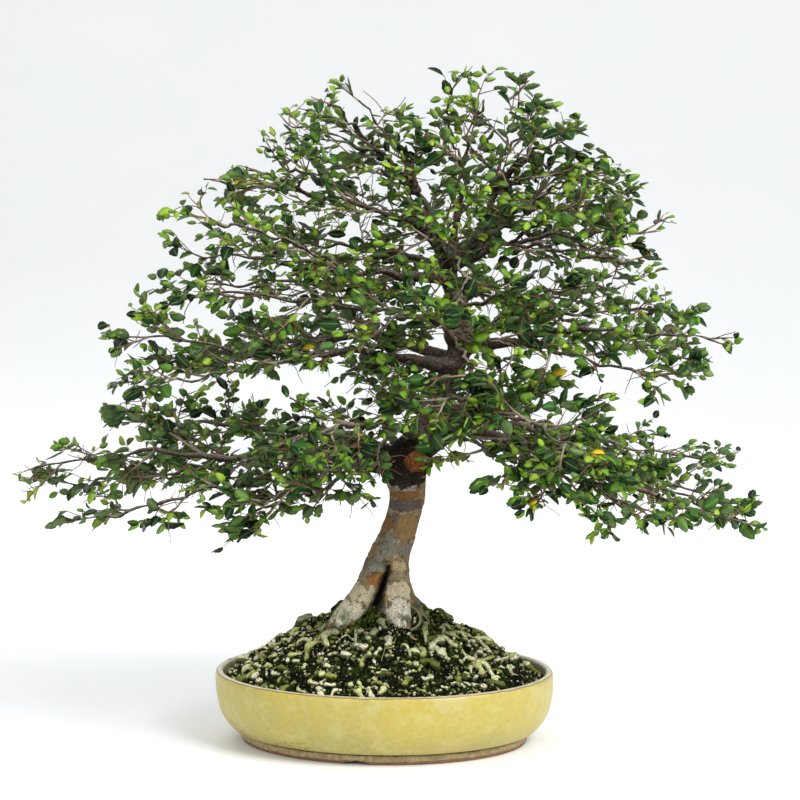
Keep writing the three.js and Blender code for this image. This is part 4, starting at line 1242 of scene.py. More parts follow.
# Only limbs carry a tone, so it tells them from the trunk
on_limb = fade(tree, attribute(tree, "tone"), 0.2, 0.4)
older = calc(tree, "MAXIMUM", fade(tree, height, 0.212, 0.232), on_limb)
plates = mix(tree, older, plates, old)
plates = mix(tree, fade(tree, grain, 0.35, 0.6, 0.5, 0.0), plates, srgb(58, 44, 34))
# The colour of the painted shade at the fork, nearly black with a little grain
fork_shade_colour = ramp(tree, grain, [(0.52, srgb(5, 4, 4)), (0.72, srgb(66, 57, 50))])
plates = mix(tree, times(tree, fork_shade, 0.95), plates, fork_shade_colour)
broken = use(tree, clouds, place=place, size=0.005, low=0.42, high=0.6).outputs[0]
crack = fade(tree, calc(tree, "ADD", edge, times(tree, grain, 0.06)), 0.028, 0.07, 1.0, 0.0)
crack = times(tree, crack, times(tree, broken, 0.55))
plates = mix(tree, crack, plates, srgb(74, 50, 34))
seams = times(tree, seams, fade(tree, broken, 0.0, 1.0, 0.08, 0.75))
plates = mix(tree, seams, plates, srgb(80, 56, 36))
# Near black in the cleft between the front legs: painted shade
cleft_shade = attribute(tree, "cleft_shade")
plates = mix(tree, cleft_shade, plates, srgb(12, 10, 8))
centre = [MM * c for c in SCAR_CENTRE]
scar = use(tree, patch, place=place, centre=centre, half_size=(0.0102, 0.008, 0.0088), ragged=0.15)
rings = add(tree, "ShaderNodeVectorMath", {0: place, 1: centre}, operation="DISTANCE").outputs["Value"]
rings = calc(tree, "ADD", rings, times(tree, flakes, 0.0006))
rings = calc(tree, "SINE", times(tree, rings, 4200.0))
wood = mix(tree, fade(tree, rings, -1.0, 1.0), srgb(122, 74, 38), srgb(150, 95, 50))
wood = mix(tree, fade(tree, grain, 0.42, 0.56, 0.85, 0.0), wood, srgb(50, 30, 18))
plates = mix(tree, scar.outputs["Mask"], plates, wood)
plates = mix(tree, times(tree, scar.outputs["Edge"], 0.8), plates, srgb(20, 13, 9))
low_moss = use(tree, moss, place=place, full_below=0.098, none_above=0.124, cover=0.47)
colour = mix(tree, low_moss.outputs["Mask"], plates, low_moss.outputs["Colour"])
dress(tree, shader, colour, fade(tree, grain, 0.3, 0.7, 0.62, 0.9))
steps = calc(tree, "ADD", times(tree, number, 0.5), times(tree, grain, 0.5))
steps = calc(tree, "ADD", steps, times(tree, fade(tree, edge, 0.0, 0.12), 0.35))
bump(tree, shader, steps, 0.0010)
print("material:", bark.name)

# %% [markdown]
# ### Its lines
# The trunk, the root legs and the limbs follow the lines that carry the measured model. Only the two
# front legs end a little steeper. A limb has a name, a thickness, how far its side shoots spread and how
# far its tip reaches on, and its first point lies inside the trunk. Boughs are thinner branches that
# fill the gaps between the limbs. Each starts on its limb, or on the trunk beside it.

# %% Trunk and legs
# Place and radius in millimetres, from the ground up
TRUNK = [
    ((-1, 0, 82), 30), ((-1, 0, 97), 28.5), ((0, 0, 113), 24.5), ((0, 0, 124), 21), ((2, 0, 135), 18),
    ((4, 0, 146), 15.8), ((9, 0, 160), 14), ((15, 0, 180), 13), ((18, 0, 200), 13.6), ((17, 0, 214), 16.5),
    ((18, 0, 225), 18), ((27, 0, 240), 13), ((43, 0, 268), 10), ((51, 0, 290), 9), ((60, 0, 314), 9),
    ((62, 0, 330), 9), ((58, 0, 350), 7), ((53, 0, 370), 6.4), ((51, 0, 386), 5.6)]
LEGS = [
    ([(-3, -7, 140), (-13, -15, 123), (-25, -22, 109), (-36, -28, 98), (-47, -34, 84)], 11.5),
    ([(5, -9, 142), (9, -18, 124), (11, -26, 109), (13, -33, 97), (17, -42, 80)], 12),
    ([(8, 0, 138), (13, -3, 122), (19, -6, 109), (27, -10, 99), (43, -17, 85)], 10),
    ([(4, 7, 138), (9, 17, 121), (16, 27, 108), (28, 39, 96), (42, 52, 82)], 10),
    ([(-4, 7, 138), (-10, 16, 121), (-19, 26, 108), (-31, 36, 97), (-46, 47, 83)], 10),
    ([(-6, 0, 136), (-15, 3, 121), (-24, 6, 109), (-34, 9, 99), (-50, 13, 86)], 9)]
LEG_TIP_RADIUS = 5
BURL_CENTRE = (61, -1, 327)
BURL_RADIUS = 12.5
BURL_HALF_LENGTH = 11
# The line of the cleft between the front legs, which is painted near-black as shade
CLEFT = [(4, -21, 143), (-3, -28, 122), (-14, -40, 98)]
print("trunk points:", len(TRUNK), "legs:", len(LEGS))

# %% Limbs
# Name, thickness, spread of the side shoots, reach of the tip, and the line, in millimetres
LIMBS = [
    ("low_left_front", 6.2, 62, 64, [(12, -2, 220), (-27, -10, 226), (-68, -20, 231), (-132, -30, 233),
        (-192, -30, 236), (-240, -20, 228)]),
    ("low_left_back", 6.6, 60, 58, [(10, 3, 226), (-8, 12, 235), (-36, 30, 243), (-71, 52, 243),
        (-122, 80, 246), (-180, 108, 246)]),
    ("low_right_front", 6.6, 62, 64, [(23, -3, 228), (45, -12, 243), (65, -24, 253), (92, -38, 250),
        (124, -48, 238), (196, -56, 210), (243, -52, 195)]),
    ("low_right_back", 6, 60, 60, [(28, 5, 236), (50, 25, 247), (97, 60, 248), (149, 84, 238),
        (226, 98, 223)]),
    ("low_front_left", 4.6, 52, 60, [(30, -6, 245), (10, -45, 258), (-22, -95, 264), (-48, -140, 262)]),
    ("low_front_right", 4.6, 52, 60, [(38, -6, 262), (72, -48, 272), (104, -96, 270), (128, -138, 260)]),
    ("low_back", 5, 56, 62, [(32, 6, 250), (30, 55, 264), (20, 100, 266), (8, 146, 260)]),
    ("mid_left_front", 5.4, 56, 60, [(55, -3, 301), (13, -16, 310), (-34, -36, 316), (-74, -52, 315),
        (-120, -60, 321), (-152, -62, 326)]),
    ("mid_left_back", 4.8, 54, 58, [(54, 4, 306), (21, 28, 317), (-29, 65, 322), (-90, 92, 314),
        (-166, 104, 299)]),
    ("mid_right_front", 5, 54, 58, [(63, -3, 317), (109, -16, 324), (148, -32, 334), (187, -46, 332),
        (220, -54, 330)]),
    ("mid_right_back", 4.6, 54, 58, [(63, 4, 325), (96, 34, 333), (139, 72, 340), (189, 104, 340)]),
    ("mid_front", 4, 50, 56, [(60, -4, 322), (44, -45, 340), (20, -88, 346), (0, -124, 344)]),
    ("mid_back", 4.2, 50, 56, [(58, 5, 345), (70, 50, 360), (78, 95, 362), (80, 132, 356)]),
    ("upper_left_front", 4.4, 50, 56, [(53, -3, 372), (13, -16, 375), (-27, -30, 379), (-66, -42, 386),
        (-108, -49, 390)]),
    ("upper_left_back", 4, 50, 54, [(53, 4, 377), (21, 32, 389), (-29, 66, 396), (-72, 88, 398)]),
    ("upper_right_front", 4, 48, 66, [(53, -3, 382), (99, -20, 401), (135, -36, 407), (162, -46, 409)]),
    ("upper_right_back", 4, 46, 54, [(53, 4, 384), (100, 36, 412), (140, 68, 418), (162, 84, 418)]),
    ("upper_front", 3.6, 44, 52, [(52, -4, 384), (44, -40, 402), (36, -80, 410)]),
    ("upper_back", 3.6, 44, 52, [(52, 4, 386), (42, 44, 410), (30, 84, 418)]),
    ("crown_left", 3.6, 44, 54, [(51, -1, 384), (30, -8, 412), (-10, -20, 428), (-60, -34, 440),
        (-108, -42, 446)]),
    ("crown_right", 3.8, 44, 52, [(52, 1, 384), (76, 3, 408), (111, 14, 430), (148, 26, 444)]),
    ("apex_left", 3.8, 36, 50, [(50, 2, 384), (36, 3, 418), (24, 5, 446), (2, 10, 466), (-34, 18, 484),
        (-54, 22, 490)]),
    ("apex_left_top", 2.8, 34, 50, [(26, 4, 440), (16, 0, 468), (4, -6, 482), (-1, -8, 489)]),
    ("apex_middle", 3.4, 34, 50, [(52, 0, 384), (58, -8, 420), (62, -14, 460), (67, -16, 484)]),
    ("apex_right_top", 3.4, 34, 50, [(76, 3, 406), (88, 4, 440), (93, 6, 466), (99, 10, 485)]),
    ("apex_right", 2.8, 34, 48, [(90, 4, 446), (108, -10, 464), (120, -16, 470)])]
LIMB_TIP_RADIUS = 0.65


def limb_radii(thick, line, reach=0.0):
    """A limb's radius along its line. It thins quickly at first, and past its reach stays thin."""
    passed = np.concatenate([[0], np.cumsum(np.linalg.norm(np.diff(line, axis=0), axis=1))])
    share = passed / (passed[-1] - reach)
    return np.maximum(0.45, thick + (LIMB_TIP_RADIUS - thick) * share ** 0.54)


print("limbs:", len(LIMBS))

# %% Boughs
# The limb that a bough belongs to, its thickness, spread of the side shoots and line, in millimetres
BOUGHS = [
    ("low_left_front", 2.7, 38, [(-60, -18, 230), (-98, -42, 216), (-146, -60, 208), (-196, -66, 194),
        (-226, -62, 188)]),
    ("low_left_front", 2.5, 38, [(-24, -9, 226), (-44, -40, 210), (-74, -70, 203), (-112, -88, 192)]),
    ("low_left_front", 2.2, 38, [(-128, -30, 233), (-166, -12, 218), (-208, 2, 213), (-250, 6, 204)]),
    ("low_left_back", 2.5, 38, [(-68, 50, 243), (-104, 62, 222), (-146, 74, 212), (-190, 84, 200)]),
    ("low_right_front", 2.5, 38, [(92, -38, 250), (122, -68, 230), (160, -92, 216), (196, -102, 200)]),
    ("low_right_front", 2.2, 38, [(124, -48, 238), (162, -34, 220), (208, -26, 210), (256, -26, 194)]),
    ("low_right_front", 2.2, 38, [(64, -24, 252), (86, -62, 236), (112, -92, 224), (136, -110, 212)]),
    ("low_right_back", 2.5, 38, [(145, 82, 238), (184, 70, 214), (226, 60, 204), (262, 54, 192)]),
    ("low_back", 2.4, 38, [(20, 100, 266), (-14, 126, 240), (-52, 140, 224), (-90, 142, 208)]),
    ("low_back", 2.2, 38, [(26, 80, 266), (62, 112, 240), (100, 130, 224), (136, 132, 212)]),
    ("low_front_left", 2.1, 42, [(10, -45, 258), (-16, -66, 236), (-52, -92, 222), (-92, -112, 208)]),
    ("mid_left_front", 2.3, 34, [(-34, -36, 316), (-74, -72, 312), (-118, -92, 304), (-160, -98, 298)]),
    ("mid_left_back", 2.2, 34, [(-29, 65, 322), (-72, 84, 312), (-118, 96, 302), (-160, 98, 296)]),
    ("mid_right_front", 2.3, 36, [(109, -16, 324), (142, -54, 316), (182, -74, 306), (216, -80, 300)]),
    ("mid_right_back", 2.1, 36, [(139, 72, 340), (176, 78, 322), (210, 86, 312), (238, 88, 304)]),
    ("mid_left_front", 2.5, 46, [(59, -2, 342), (14, -30, 346), (-42, -52, 354), (-98, -62, 362),
        (-148, -60, 362)]),
    ("mid_left_back", 2.4, 46, [(57, 3, 352), (22, 26, 356), (-30, 44, 364), (-84, 56, 368),
        (-140, 56, 364)]),
    ("mid_right_front", 2.2, 44, [(58, -2, 350), (96, -26, 358), (140, -48, 366), (182, -56, 368)]),
    ("mid_front", 2.0, 40, [(44, -45, 340), (58, -84, 324), (66, -114, 304), (62, -130, 288)]),
    ("low_front_right", 2.0, 40, [(72, -48, 272), (66, -86, 284), (50, -120, 286), (30, -140, 280)]),
    ("upper_front", 1.8, 38, [(44, -40, 402), (58, -70, 386), (62, -96, 368), (54, -112, 356)]),
    ("upper_left_front", 1.9, 40, [(-27, -30, 379), (-62, -56, 398), (-100, -70, 412), (-138, -74, 420)]),
    ("upper_right_front", 1.9, 40, [(99, -20, 401), (132, -48, 424), (168, -60, 436)]),
    ("crown_left", 1.9, 40, [(-10, -20, 428), (-48, 4, 450), (-84, 10, 462)]),
    ("apex_left", 1.7, 30, [(2, 10, 466), (-28, -8, 498), (-40, -12, 512)]),
    ("apex_middle", 1.7, 30, [(62, -14, 460), (52, -16, 490), (50, -18, 510)]),
    ("apex_right_top", 1.7, 36, [(93, 6, 466), (112, 12, 492), (118, 14, 505)]),
    ("crown_right", 1.8, 38, [(111, 14, 430), (140, 0, 446), (166, -10, 454)]),
    ("crown_left", 1.8, 38, [(-60, -34, 440), (-82, -56, 452), (-106, -60, 458)]),
    ("apex_left", 1.7, 36, [(24, 5, 446), (0, -28, 456), (-34, -46, 462)]),
    ("apex_right_top", 1.7, 36, [(88, 4, 440), (108, -26, 450), (124, -40, 452)]),
    ("upper_right_front", 1.8, 36, [(99, -20, 401), (130, -44, 397), (164, -58, 391), (190, -62, 388)]),
    ("upper_right_back", 1.8, 34, [(100, 36, 412), (138, 50, 403), (178, 56, 395)]),
    ("mid_front", 2.0, 40, [(44, -45, 340), (76, -78, 332), (108, -98, 318)])]
print("boughs:", len(BOUGHS))

# %% [markdown]
# ### One skin of wood
# After the remesh, three marks are worked into the skin by moving its points: the cleft between
# the front legs, the flat face of the old cut inside its swollen rim, and the fluting of the stem. The
# cleft is also painted near-black as shade.
# Then Geometry Nodes raise the bark's plates, with the same cells that colour them.

# %% The melted trunk
# How many points of each limb's line belong to the melted skin
MELTED_POINTS = 16
# The radius of the cut's rim in millimetres, and the fineness of the skin in metres
SCAR_RIM_RADIUS = 2.6
VOXEL_SIZE = 0.0016

trunk_line = smooth_line([at for at, _ in TRUNK], 4)
trunk_radii = np.interp(trunk_line[:, 2], [at[2] for at, _ in TRUNK], [radius for _, radius in TRUNK])
wood = [tube(trunk_line, trunk_radii, 24)]
for points, thick in LEGS:
    line = smooth_line(points, 4)
    share = np.linspace(0, 1, len(line))
    wood.append(tube(line, thick + (LEG_TIP_RADIUS - thick) * share ** 2.2, 16))
for _, thick, _, _, points in LIMBS:
    line = smooth_line(points, 3)
    radii = limb_radii(thick, line)[:MELTED_POINTS]
    line = line[:MELTED_POINTS]
    share = np.linspace(0, 1, len(line))
    # A limb is stouter than its own radius where it leaves the trunk
    wood.append(tube(line, radii * (1.25 - 0.37 * share) + 1.0 * (1 - share), 14))
turns = np.linspace(0, 2 * math.pi, 33)
ring = [(SCAR_CENTRE[0] + SCAR_RADIUS * math.cos(t), SCAR_CENTRE[1] + 1.2,
         SCAR_CENTRE[2] + SCAR_RADIUS * math.sin(t)) for t in turns]
wood.append(tube(ring, np.full(len(ring), SCAR_RIM_RADIUS), 10))
steps = np.linspace(-1, 1, 13)
dome = [(BURL_CENTRE[0], BURL_CENTRE[1] + BURL_HALF_LENGTH * s, BURL_CENTRE[2]) for s in steps]
wood.append(tube(dome, BURL_RADIUS * np.sqrt(np.clip(1 - steps ** 2, 0.02, 1)), 20))
trunk_source = link_mesh("trunk_source", new_mesh("trunk", *together(wood)))
melt = trunk_source.modifiers.new("melt", "REMESH")
melt.mode = "VOXEL"
melt.voxel_size = VOXEL_SIZE
trunk_skin = plain(trunk_source, "trunk_skin")
print("melted skin:", triangles(trunk_skin), "triangles")

# %% Cleft, cut face and fluting
# Skin that lies further to the front than this counts as the front of the trunk, in millimetres
FRONT_Y = -6
CLEFT_DEPTH = 8

places = np.empty(len(trunk_skin.data.vertices) * 3)
trunk_skin.data.vertices.foreach_get("co", places)
places = places.reshape(-1, 3) / MM
cleft_line = smooth_line(CLEFT, 1.5)
away = np.min(np.linalg.norm(places[:, None, ::2] - cleft_line[None, ::2, ::2], axis=2), axis=1)
# The cleft is wider at the ground than at its top
away = away / np.interp(places[:, 2], [98, 143], [5.0, 2.8])
in_front = places[:, 1] < FRONT_Y
places[:, 1] += np.where(in_front, CLEFT_DEPTH * np.exp(-away ** 2), 0)
# How near the cleft's line a point lies, which the bark paints near-black as shade
cleft_shade = np.where(in_front, np.clip(1.6 - 1.1 * away, 0, 1), 0)
in_scar = np.hypot(places[:, 0] - SCAR_CENTRE[0], places[:, 2] - SCAR_CENTRE[2])
still_in_front = places[:, 1] < FRONT_Y
face = np.clip((SCAR_RADIUS - 1.6 - in_scar) / 1.5, 0, 1) * still_in_front
places[:, 1] += face * (SCAR_CENTRE[1] + 0.8 + 0.03 * in_scar - places[:, 1])
axis_x = np.interp(places[:, 2], trunk_line[:, 2], trunk_line[:, 0])
turn = np.arctan2(places[:, 1], places[:, 0] - axis_x)
flute = 0.8 * np.cos(3 * turn + 0.03 * places[:, 2]) + 0.6 * np.cos(5 * turn - 0.06 * places[:, 2])
# Only the stem between the legs and the fork is fluted
stem = np.clip((215 - places[:, 2]) / 15, 0, 1) * np.clip((places[:, 2] - 118) / 14, 0, 1)
places[:, 0] += flute * stem * np.cos(turn)
places[:, 1] += flute * stem * np.sin(turn)
trunk_skin.data.vertices.foreach_set("co", (places * MM).ravel())
trunk_skin.data.update()
store(trunk_skin.data, "cleft_shade", cleft_shade)
print("skin points worked on:", len(places))

# %% The relief of the bark
relief, given, result = new_group(
    "Bark relief", "GeometryNodeTree",
    [("Wood", "Geometry", None), ("Plate step", "Float", 0.0007), ("Gnarl", "Float", 0.001),
     ("Finish", "Material", None)],
    [("Wood", "Geometry")])
position = add(relief, "GeometryNodeInputPosition").outputs[0]
number, edge = bark_plates(relief, position)
step = calc(relief, "ADD", times(relief, number, 0.6), fade(relief, edge, 0.0, 0.12))
knots = calc(relief, "SUBTRACT", noise(relief, position, 0.011, 3.0), 0.5)
rise = calc(relief, "ADD", times(relief, step, given["Plate step"]),
            times(relief, knots, times(relief, given["Gnarl"], 3.0)))
offset = stretch(relief, add(relief, "GeometryNodeInputNormal").outputs[0], rise)
moved = add(relief, "GeometryNodeSetPosition", {"Geometry": given["Wood"], "Offset": offset})
smooth = add(relief, "GeometryNodeSetShadeSmooth", {0: moved.outputs[0], 2: True})
end_tree(relief, smooth.outputs[0], given, result)
tree_trunk = run_nodes(trunk_skin, "tree_trunk", relief, plate_step=0.0006, gnarl=0.0011, finish=bark)
finish_piece(tree_trunk, "bark", "tree")

# %% [markdown]
# ## The limbs
# A limb is a tapering round section that follows a line, which is what Curve to Mesh makes. The line is
# a plain mesh of edges whose points carry a radius. One tree serves for the limbs and for every twig:
# it turns the edges into curves, sweeps a circle along them at the stored radius, closes the ends and
# gives the wood its bark. The limbs then get the trunk's relief, in a weaker form.

# %% The tree that sweeps wood along lines
sweep, given, result = new_group(
    "Wood along lines", "GeometryNodeTree",
    [("Lines", "Geometry", None), ("Sides", "Int", 6), ("Finish", "Material", None)],
    [("Wood", "Geometry")])
curves = add(sweep, "GeometryNodeMeshToCurve", {0: given["Lines"]})
section = add(sweep, "GeometryNodeCurvePrimitiveCircle",
              {"Resolution": given["Sides"], "Radius": 1.0})
radius = stored(sweep, "radius")
swept = add(sweep, "GeometryNodeCurveToMesh",
            {"Curve": curves.outputs[0], "Profile Curve": section.outputs[0], "Scale": radius,
             "Fill Caps": True})
smooth = add(sweep, "GeometryNodeSetShadeSmooth", {0: swept.outputs[0], 2: True})
end_tree(sweep, smooth.outputs[0], given, result)
print("sweeping tree with", len(sweep.nodes), "nodes")


# %% Lines that become wood
class Lines:
    """Lines of wood that are gathered for one piece."""

    def __init__(self):
        self.points = []
        self.edges = []
        self.radii = []
        self.tones = []

    def add(self, line, radii, tone):
        """Keeps one line with its radii and tone."""
        start = len(self.points)
        self.points.extend(line)
        self.edges.extend((k, k + 1) for k in range(start, start + len(line) - 1))
        self.radii.extend(MM * radius for radius in radii)
        self.tones.extend([tone] * len(line))

    def piece(self, name, sides, finish):
        """Sweeps all the lines into one piece of wood."""
        mesh = new_mesh(name, self.points, [], self.edges)
        # The sweep uses the radius up, and the twig bark reads the thickness
        for label, values in (("radius", self.radii), ("thickness", self.radii), ("tone", self.tones)):
            store(mesh, label, values)
        return run_nodes(link_mesh(name + "_lines", mesh), name, sweep, sides=sides, finish=finish)


def swaying(line, rng):
    """The line with the small bends that years of pruning leave."""
    share = np.linspace(0, 1, len(line))
    phases = [rng.uniform(0, 6) for _ in range(3)]
    bends = [1.6 * np.sin(23 * share + p) + 1.1 * np.sin(41 * share + 2 * p) for p in phases]
    return line + np.minimum(1, 6 * share)[:, None] * np.stack(bends, axis=1)


print("swaying lines ready")

# %% Limbs and boughs
# The last stretch of a limb's reach is left to the shoot at its tip
TIP_STRETCH = 22
LIMB_TONE = 0.5
# A bough takes this share of its thickness, and starts on its limb if it passes this close to it
BOUGH_SHARE = 0.7
SNAP_DISTANCE = 12

rng = random.Random(17)
limb_lines = Lines()
routes = {}
for name, thick, _, reach, points in LIMBS:
    ends = np.array(points, float)
    on = (ends[-1] - ends[-2]) / np.linalg.norm(ends[-1] - ends[-2])
    line = swaying(smooth_line([*points, ends[-1] + on * (reach - TIP_STRETCH)], 4), rng)
    lumpy = 1 + 0.1 * np.sin(np.linspace(0, 37, len(line)) + rng.uniform(0, 6))
    limb_lines.add(line, limb_radii(thick, line, reach - TIP_STRETCH) * lumpy, LIMB_TONE)
    routes[name] = line
bough_routes = []
for name, thick, _, points in BOUGHS:
    start = min(routes[name], key=lambda place: np.linalg.norm(place - points[0]))
    if np.linalg.norm(start - points[0]) < SNAP_DISTANCE:
        points = [tuple(start), *points[1:]]
    line = swaying(smooth_line(points, 4), rng)
    limb_lines.add(line, limb_radii(BOUGH_SHARE * thick, line), LIMB_TONE)
    bough_routes.append(line)
limb_wood = limb_lines.piece("limb_wood", 10, bark)
tree_limbs = run_nodes(limb_wood, "tree_limbs", relief, plate_step=0.0003, gnarl=0.0007, finish=bark)
finish_piece(tree_limbs, "bark")

# %% [markdown]
# ## How the crown grows
# An elm twig is a zigzag. At a bend sits one leaf, left and right in turn, and any of those bends can
# send out a shoot of its own, which does the same. So the crown is grown by that rule, limb by limb, each
# from its own fixed seed: side shoots leave the limb and its boughs, shorter shoots leave those, and
# short bare spurs stay between them. A pruned tree keeps its outline, so the rule stops each shoot there.
# The outline is a list of heights with the furthest left and right that the tree reaches there, and a
# second list gives the depth.

# %% Twig bark
twig_bark, tree, shader, place = new_material("red_brown_twig_bark")
dull(shader, 0.15)
tone = attribute(tree, "tone")
thick = attribute(tree, "thickness")
grain = noise(tree, place, 0.0012, 4.0, 0.7)
young = mix(tree, tone, srgb(70, 38, 28), srgb(140, 108, 84))
aged = mix(tree, tone, srgb(88, 74, 64), srgb(184, 170, 150))
wood = mix(tree, fade(tree, thick, 0.0004, 0.0010), young, aged)
wood = mix(tree, times(tree, fade(tree, grain, 0.4, 0.65), 0.5), wood, srgb(58, 42, 36))
pores = use(tree, specks, place=place, spacing=0.0012, share=0.3, width=0.25).outputs[0]
wood = mix(tree, times(tree, pores, 0.5), wood, srgb(176, 158, 138))
dress(tree, shader, wood, fade(tree, grain, 0.3, 0.7, 0.55, 0.8))
bump(tree, shader, grain, 0.0003)
print("material:", twig_bark.name)

# %% The outline that the grower keeps
# Height, furthest left and furthest right, in millimetres
CROWN_OUTLINE = [
    (150, -225, 285), (165, -238, 292), (177, -265, 306), (189, -282, 308), (201, -291, 305),
    (213, -296, 307), (225, -300, 307), (238, -268, 290), (250, -260, 262), (262, -258, 252),
    (274, -238, 258), (286, -232, 262), (298, -226, 270), (311, -212, 274), (323, -212, 277),
    (335, -230, 280), (347, -208, 280), (359, -200, 242), (371, -188, 228), (384, -184, 220),
    (396, -173, 212), (408, -178, 218), (420, -175, 228), (432, -170, 220), (444, -152, 208),
    (457, -124, 200), (469, -102, 180), (481, -106, 168), (493, -106, 162), (505, -98, 154),
    (517, -62, 136), (530, -42, 128), (541, -32, 126)]
# Height, and how far the crown reaches to the front and the back
CROWN_DEPTH = [(150, 150), (200, 198), (260, 200), (340, 172), (420, 128), (480, 92), (541, 56)]
CROWN_BOTTOM = 158
CROWN_TOP = 541


def in_outline(place, spare):
    """Whether a place lies inside the crown's outline by that much."""
    x, y, z = place
    heights = [row[0] for row in CROWN_OUTLINE]
    left = np.interp(z, heights, [row[1] for row in CROWN_OUTLINE]) + spare
    right = np.interp(z, heights, [row[2] for row in CROWN_OUTLINE]) - spare
    deep = np.interp(z, [row[0] for row in CROWN_DEPTH], [row[1] for row in CROWN_DEPTH]) - spare
    return left < x < right and abs(y) < deep and CROWN_BOTTOM + spare < z < CROWN_TOP - spare


print("outline rows:", len(CROWN_OUTLINE))

# %% Directions
UP = np.array((0.0, 0.0, 1.0))


def unit(vector):
    """The same direction with a length of 1."""
    return vector / max(1e-9, float(np.linalg.norm(vector)))


def turned_way(way, axis, angle):
    """The way turned about an axis."""
    axis = unit(axis)
    return (way * math.cos(angle) + np.cross(axis, way) * math.sin(angle)
            + axis * float(axis @ way) * (1 - math.cos(angle)))


print("direction tools ready")

# %% The rule of growth
# Lengths are in millimetres
NODE_STEP = 5.6
ZIGZAG = math.radians(15)
LEAF_SHARE = 0.76
LEAF_LENGTHS = (9.5, 18.5)
TIP_LEAF_LENGTHS = (7, 12)
FRESH_SIZE = 0.74
SPUR_SHARE = 0.6
CROWN_MIDDLE = (40, 0, 300)
# Youth runs from 0, mature, to 1, fresh. The few leaves that turn yellow have this value instead
YELLOW = 2.0
YELLOW_SHARE = 0.003


class Crown:
    """The shoots and leaves of one limb and its boughs."""

    def __init__(self, rng):
        self.rng = rng
        self.lines = Lines()
        self.leaves = []

    def leaf(self, place, way, side, size, youth):
        """Keeps one leaf: where it sits, where it points and faces, its length and its youth."""
        rng = self.rng
        points = unit(0.62 * way + 0.8 * side + 0.42 * any_vector(rng) + np.array((0, 0, -0.12)))
        faces = UP * rng.uniform(0.0, 0.9) + 0.78 * any_vector(rng)
        faces = faces + 0.42 * unit(place - np.array(CROWN_MIDDLE))
        if in_outline(place + points * size, 1.0):
            self.leaves.append((place, points, unit(faces), size, youth, rng.random()))

    def shoot(self, start, way, length, thick, level, bare=0.0):
        """Grows a zigzag shoot with leaves past its bare part, and returns its points and ways."""
        rng = self.rng
        flat = unit(np.cross(way, UP) + 0.3 * any_vector(rng))
        lift = rng.uniform(-0.02, 0.05) if level < 3 else rng.uniform(-0.04, 0.10)
        bend = rng.uniform(-0.05, 0.05)
        line = [start]
        ways = [way]
        sides = [flat]
        count = max(2, round(length / NODE_STEP))
        for k in range(count):
            normal = unit(np.cross(flat, way))
            way = turned_way(way, normal, bend + ZIGZAG * rng.uniform(0.5, 1.3) * (1 if k % 2 else -1))
            way = unit(way + UP * lift)
            place = line[-1] + way * NODE_STEP * rng.uniform(0.8, 1.15)
            if not in_outline(place, 5):
                break
            line.append(place)
            ways.append(way)
            sides.append(unit(flat - way * float(flat @ way)) * (1 if k % 2 else -1))
        share = np.linspace(0, 1, len(line))
        if len(line) > 2:
            self.lines.add(line, np.maximum(0.3, thick * (1 - 0.72 * share)), rng.random())
        # Fresh shoots are more common high up, where the light is
        high = (start[2] - 160) / 380
        fresh = rng.random() < 0.30 + 0.25 * high
        for k in range(1, len(line)):
            if share[k] < bare or rng.random() > LEAF_SHARE:
                continue
            size = rng.uniform(*LEAF_LENGTHS) * (0.8 + 0.3 * math.sin(math.pi * min(1, share[k] + 0.12)))
            youth = rng.uniform(0, 0.35)
            if fresh and share[k] > 0.35:
                youth = rng.uniform(0.5, 1.0)
                size *= FRESH_SIZE
            if rng.random() < YELLOW_SHARE:
                youth = YELLOW
            self.leaf(line[k], ways[k], sides[k], size, youth)
        if len(line) > 2:
            size = rng.uniform(*TIP_LEAF_LENGTHS)
            self.leaf(line[-1], ways[-1], 0.3 * sides[-1], size, rng.uniform(0.2, 1.0))
        return line, ways, sides

    def spurs(self, line, ways, sides):
        """Short bare twigs, as pruning leaves them inside the crown."""
        rng = self.rng
        for k in range(1, len(line) - 1):
            if rng.random() < SPUR_SHARE:
                spin = rng.uniform(-1.4, 1.4)
                way = unit(0.6 * ways[k] - sides[k] * math.cos(spin) + UP * math.sin(spin))
                places = [line[k]]
                for _ in range(rng.choice((2, 3, 4))):
                    way = unit(way + 0.35 * any_vector(rng))
                    places.append(places[-1] + way * rng.uniform(4, 7))
                if all(in_outline(place, 2) for place in places[1:]):
                    self.lines.add(places, np.linspace(0.42, 0.26, len(places)), rng.random())

    def branches(self, line, ways, sides, every, first, lengths, thick, level, rise):
        """Sends shoots out from the bends of a line, left and right in turn."""
        rng = self.rng
        for k in range(first, len(line), every):
            share = k / len(line)
            lifted = rng.uniform(*rise) * (1 if rng.random() < 0.84 else -0.8)
            spin = unit(sides[k] * math.cos(lifted) + UP * math.sin(lifted))
            lean = rng.uniform(0.55, 1.0)
            way = unit(ways[k] * (1.15 - lean * 0.5) + spin * lean)
            if way[2] < -0.45:
                way = unit(way + np.array((0, 0, 0.3)))
            length = rng.uniform(*lengths) * (1 - 0.35 * share)
            grown = self.shoot(line[k], way, length, thick, level, bare=0.3 if level == 3 else 0.0)
            if level == 3 and length > 22:
                self.branches(*grown, every=3, first=2, lengths=(9, 17), thick=0.4, level=4,
                              rise=(-1.2, 1.4))


print("growth rule ready")

# %% [markdown]
# ## The leaves
# An elm leaf is a pointed oval with saw teeth, folded a little along its midrib and set on a very short
# stalk. There are some thousands of them, so each has only a few dozen faces: a folded upper skin and
# a lower one that share a sharp toothed border. The upper side is the glossier one. Old leaves are dark,
# and leaves at the tip of a growing shoot are yellow green. The blade's own UV map places midrib and
# side veins on every copy.

